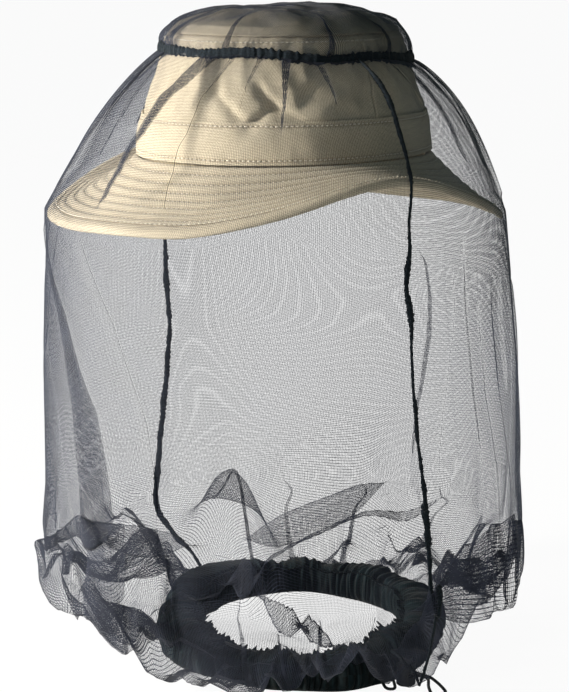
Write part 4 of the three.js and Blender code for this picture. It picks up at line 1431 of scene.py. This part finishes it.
def finish_lock():
    """The cord lock's parts are the CAD's own, with materials."""
    parts = [
        ("cord_lock_barrel", lock_plastic),
        ("cord_lock_plunger", lock_plastic),
        ("cord_lock_spring", spring_steel),
    ]
    for name, material in parts:
        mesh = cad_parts[name].data
        mesh.materials.clear()
        mesh.materials.append(material)


# -------- stage, light and camera

CAMERA_AZIMUTH = math.radians(57)
CAMERA_DISTANCE = 1.5
CAMERA_HEIGHT = 0.52
CAMERA_SHIFT = Vector((0, -0.004, 0))
CAMERA_AIM = (0.0017, -0.0014, 0.2173)
LENS = 116.1
KEY_TURN = math.radians(71)
KEY_ENERGY = 190
FRONT_TURN = 0.3  # radians
FRONT_ENERGY = 3
FILL_COLOR = (0.78, 1.0, 0.98, 1)
FILL_STRENGTH = 0.15
FLOOR_SIZE = 60.0
NET_LAYERS_SEEN_THROUGH = 40


def around(azimuth, distance, height):
    """A place round the object, azimuth 0 in front of the wearer and 90 degrees at the wearer's left."""
    return Vector((math.sin(azimuth) * distance, -math.cos(azimuth) * distance, height))


def look_at(thing, target):
    thing.rotation_euler = (Vector(target) - thing.location).to_track_quat("-Z", "Y").to_euler()


def area_light(name, location, size, energy, color):
    data = bpy.data.lights.new(name, "AREA")
    data.shape = "DISK"
    data.size = size
    data.energy = energy
    data.color = color
    lamp = bpy.data.objects.new(name, data)
    bpy.context.scene.collection.objects.link(lamp)
    lamp.location = location
    look_at(lamp, (0, 0, 0.3))
    return lamp


def studio_world():
    """A backdrop that is white to the camera, and lights the object only softly."""
    s = Shader("studio", world=True)
    seen = s.node("LightPath").outputs["Is Camera Ray"]
    backdrop = s.node("Background", {"Color": (1, 1, 1, 1)}).outputs[0]
    fill = s.node("Background", {"Color": FILL_COLOR, "Strength": FILL_STRENGTH}).outputs[0]
    return s.done(s.mix(seen, fill, backdrop))


def build_stage():
    bpy.ops.mesh.primitive_grid_add(x_subdivisions=8, y_subdivisions=8, size=FLOOR_SIZE, location=(0, 0, 0))
    floor = bpy.context.object
    floor.name = "pale_floor"
    floor.data.materials.append(floor_material("pale_floor"))

    scene = bpy.context.scene
    scene.world = studio_world()
    scene.view_settings.view_transform = "Standard"
    scene.cycles.transparent_max_bounces = NET_LAYERS_SEEN_THROUGH
    key_place = around(CAMERA_AZIMUTH - KEY_TURN, 2.3, 0.85)
    area_light("key", key_place, 0.55, KEY_ENERGY, (1.0, 0.95, 0.87))
    front_place = around(CAMERA_AZIMUTH - FRONT_TURN, 1.6, 0.9)
    area_light("soft_front", front_place, 1.4, FRONT_ENERGY, (0.95, 0.98, 1.0))

    camera_data = bpy.data.cameras.new("camera")
    camera_data.lens = LENS
    camera_data.sensor_width = 36
    camera = bpy.data.objects.new("camera", camera_data)
    scene.collection.objects.link(camera)
    camera.location = around(CAMERA_AZIMUTH, CAMERA_DISTANCE, CAMERA_HEIGHT) + CAMERA_SHIFT
    look_at(camera, CAMERA_AIM)
    scene.camera = camera


# -------- assembly

build_crown()
build_top_panel()
build_bands()
build_brim()
build_binding()
build_stitching()
build_elastic()
build_top_net()
build_seams(build_net())
build_collar()
build_heading()
build_cord()
finish_lock()
build_stage()
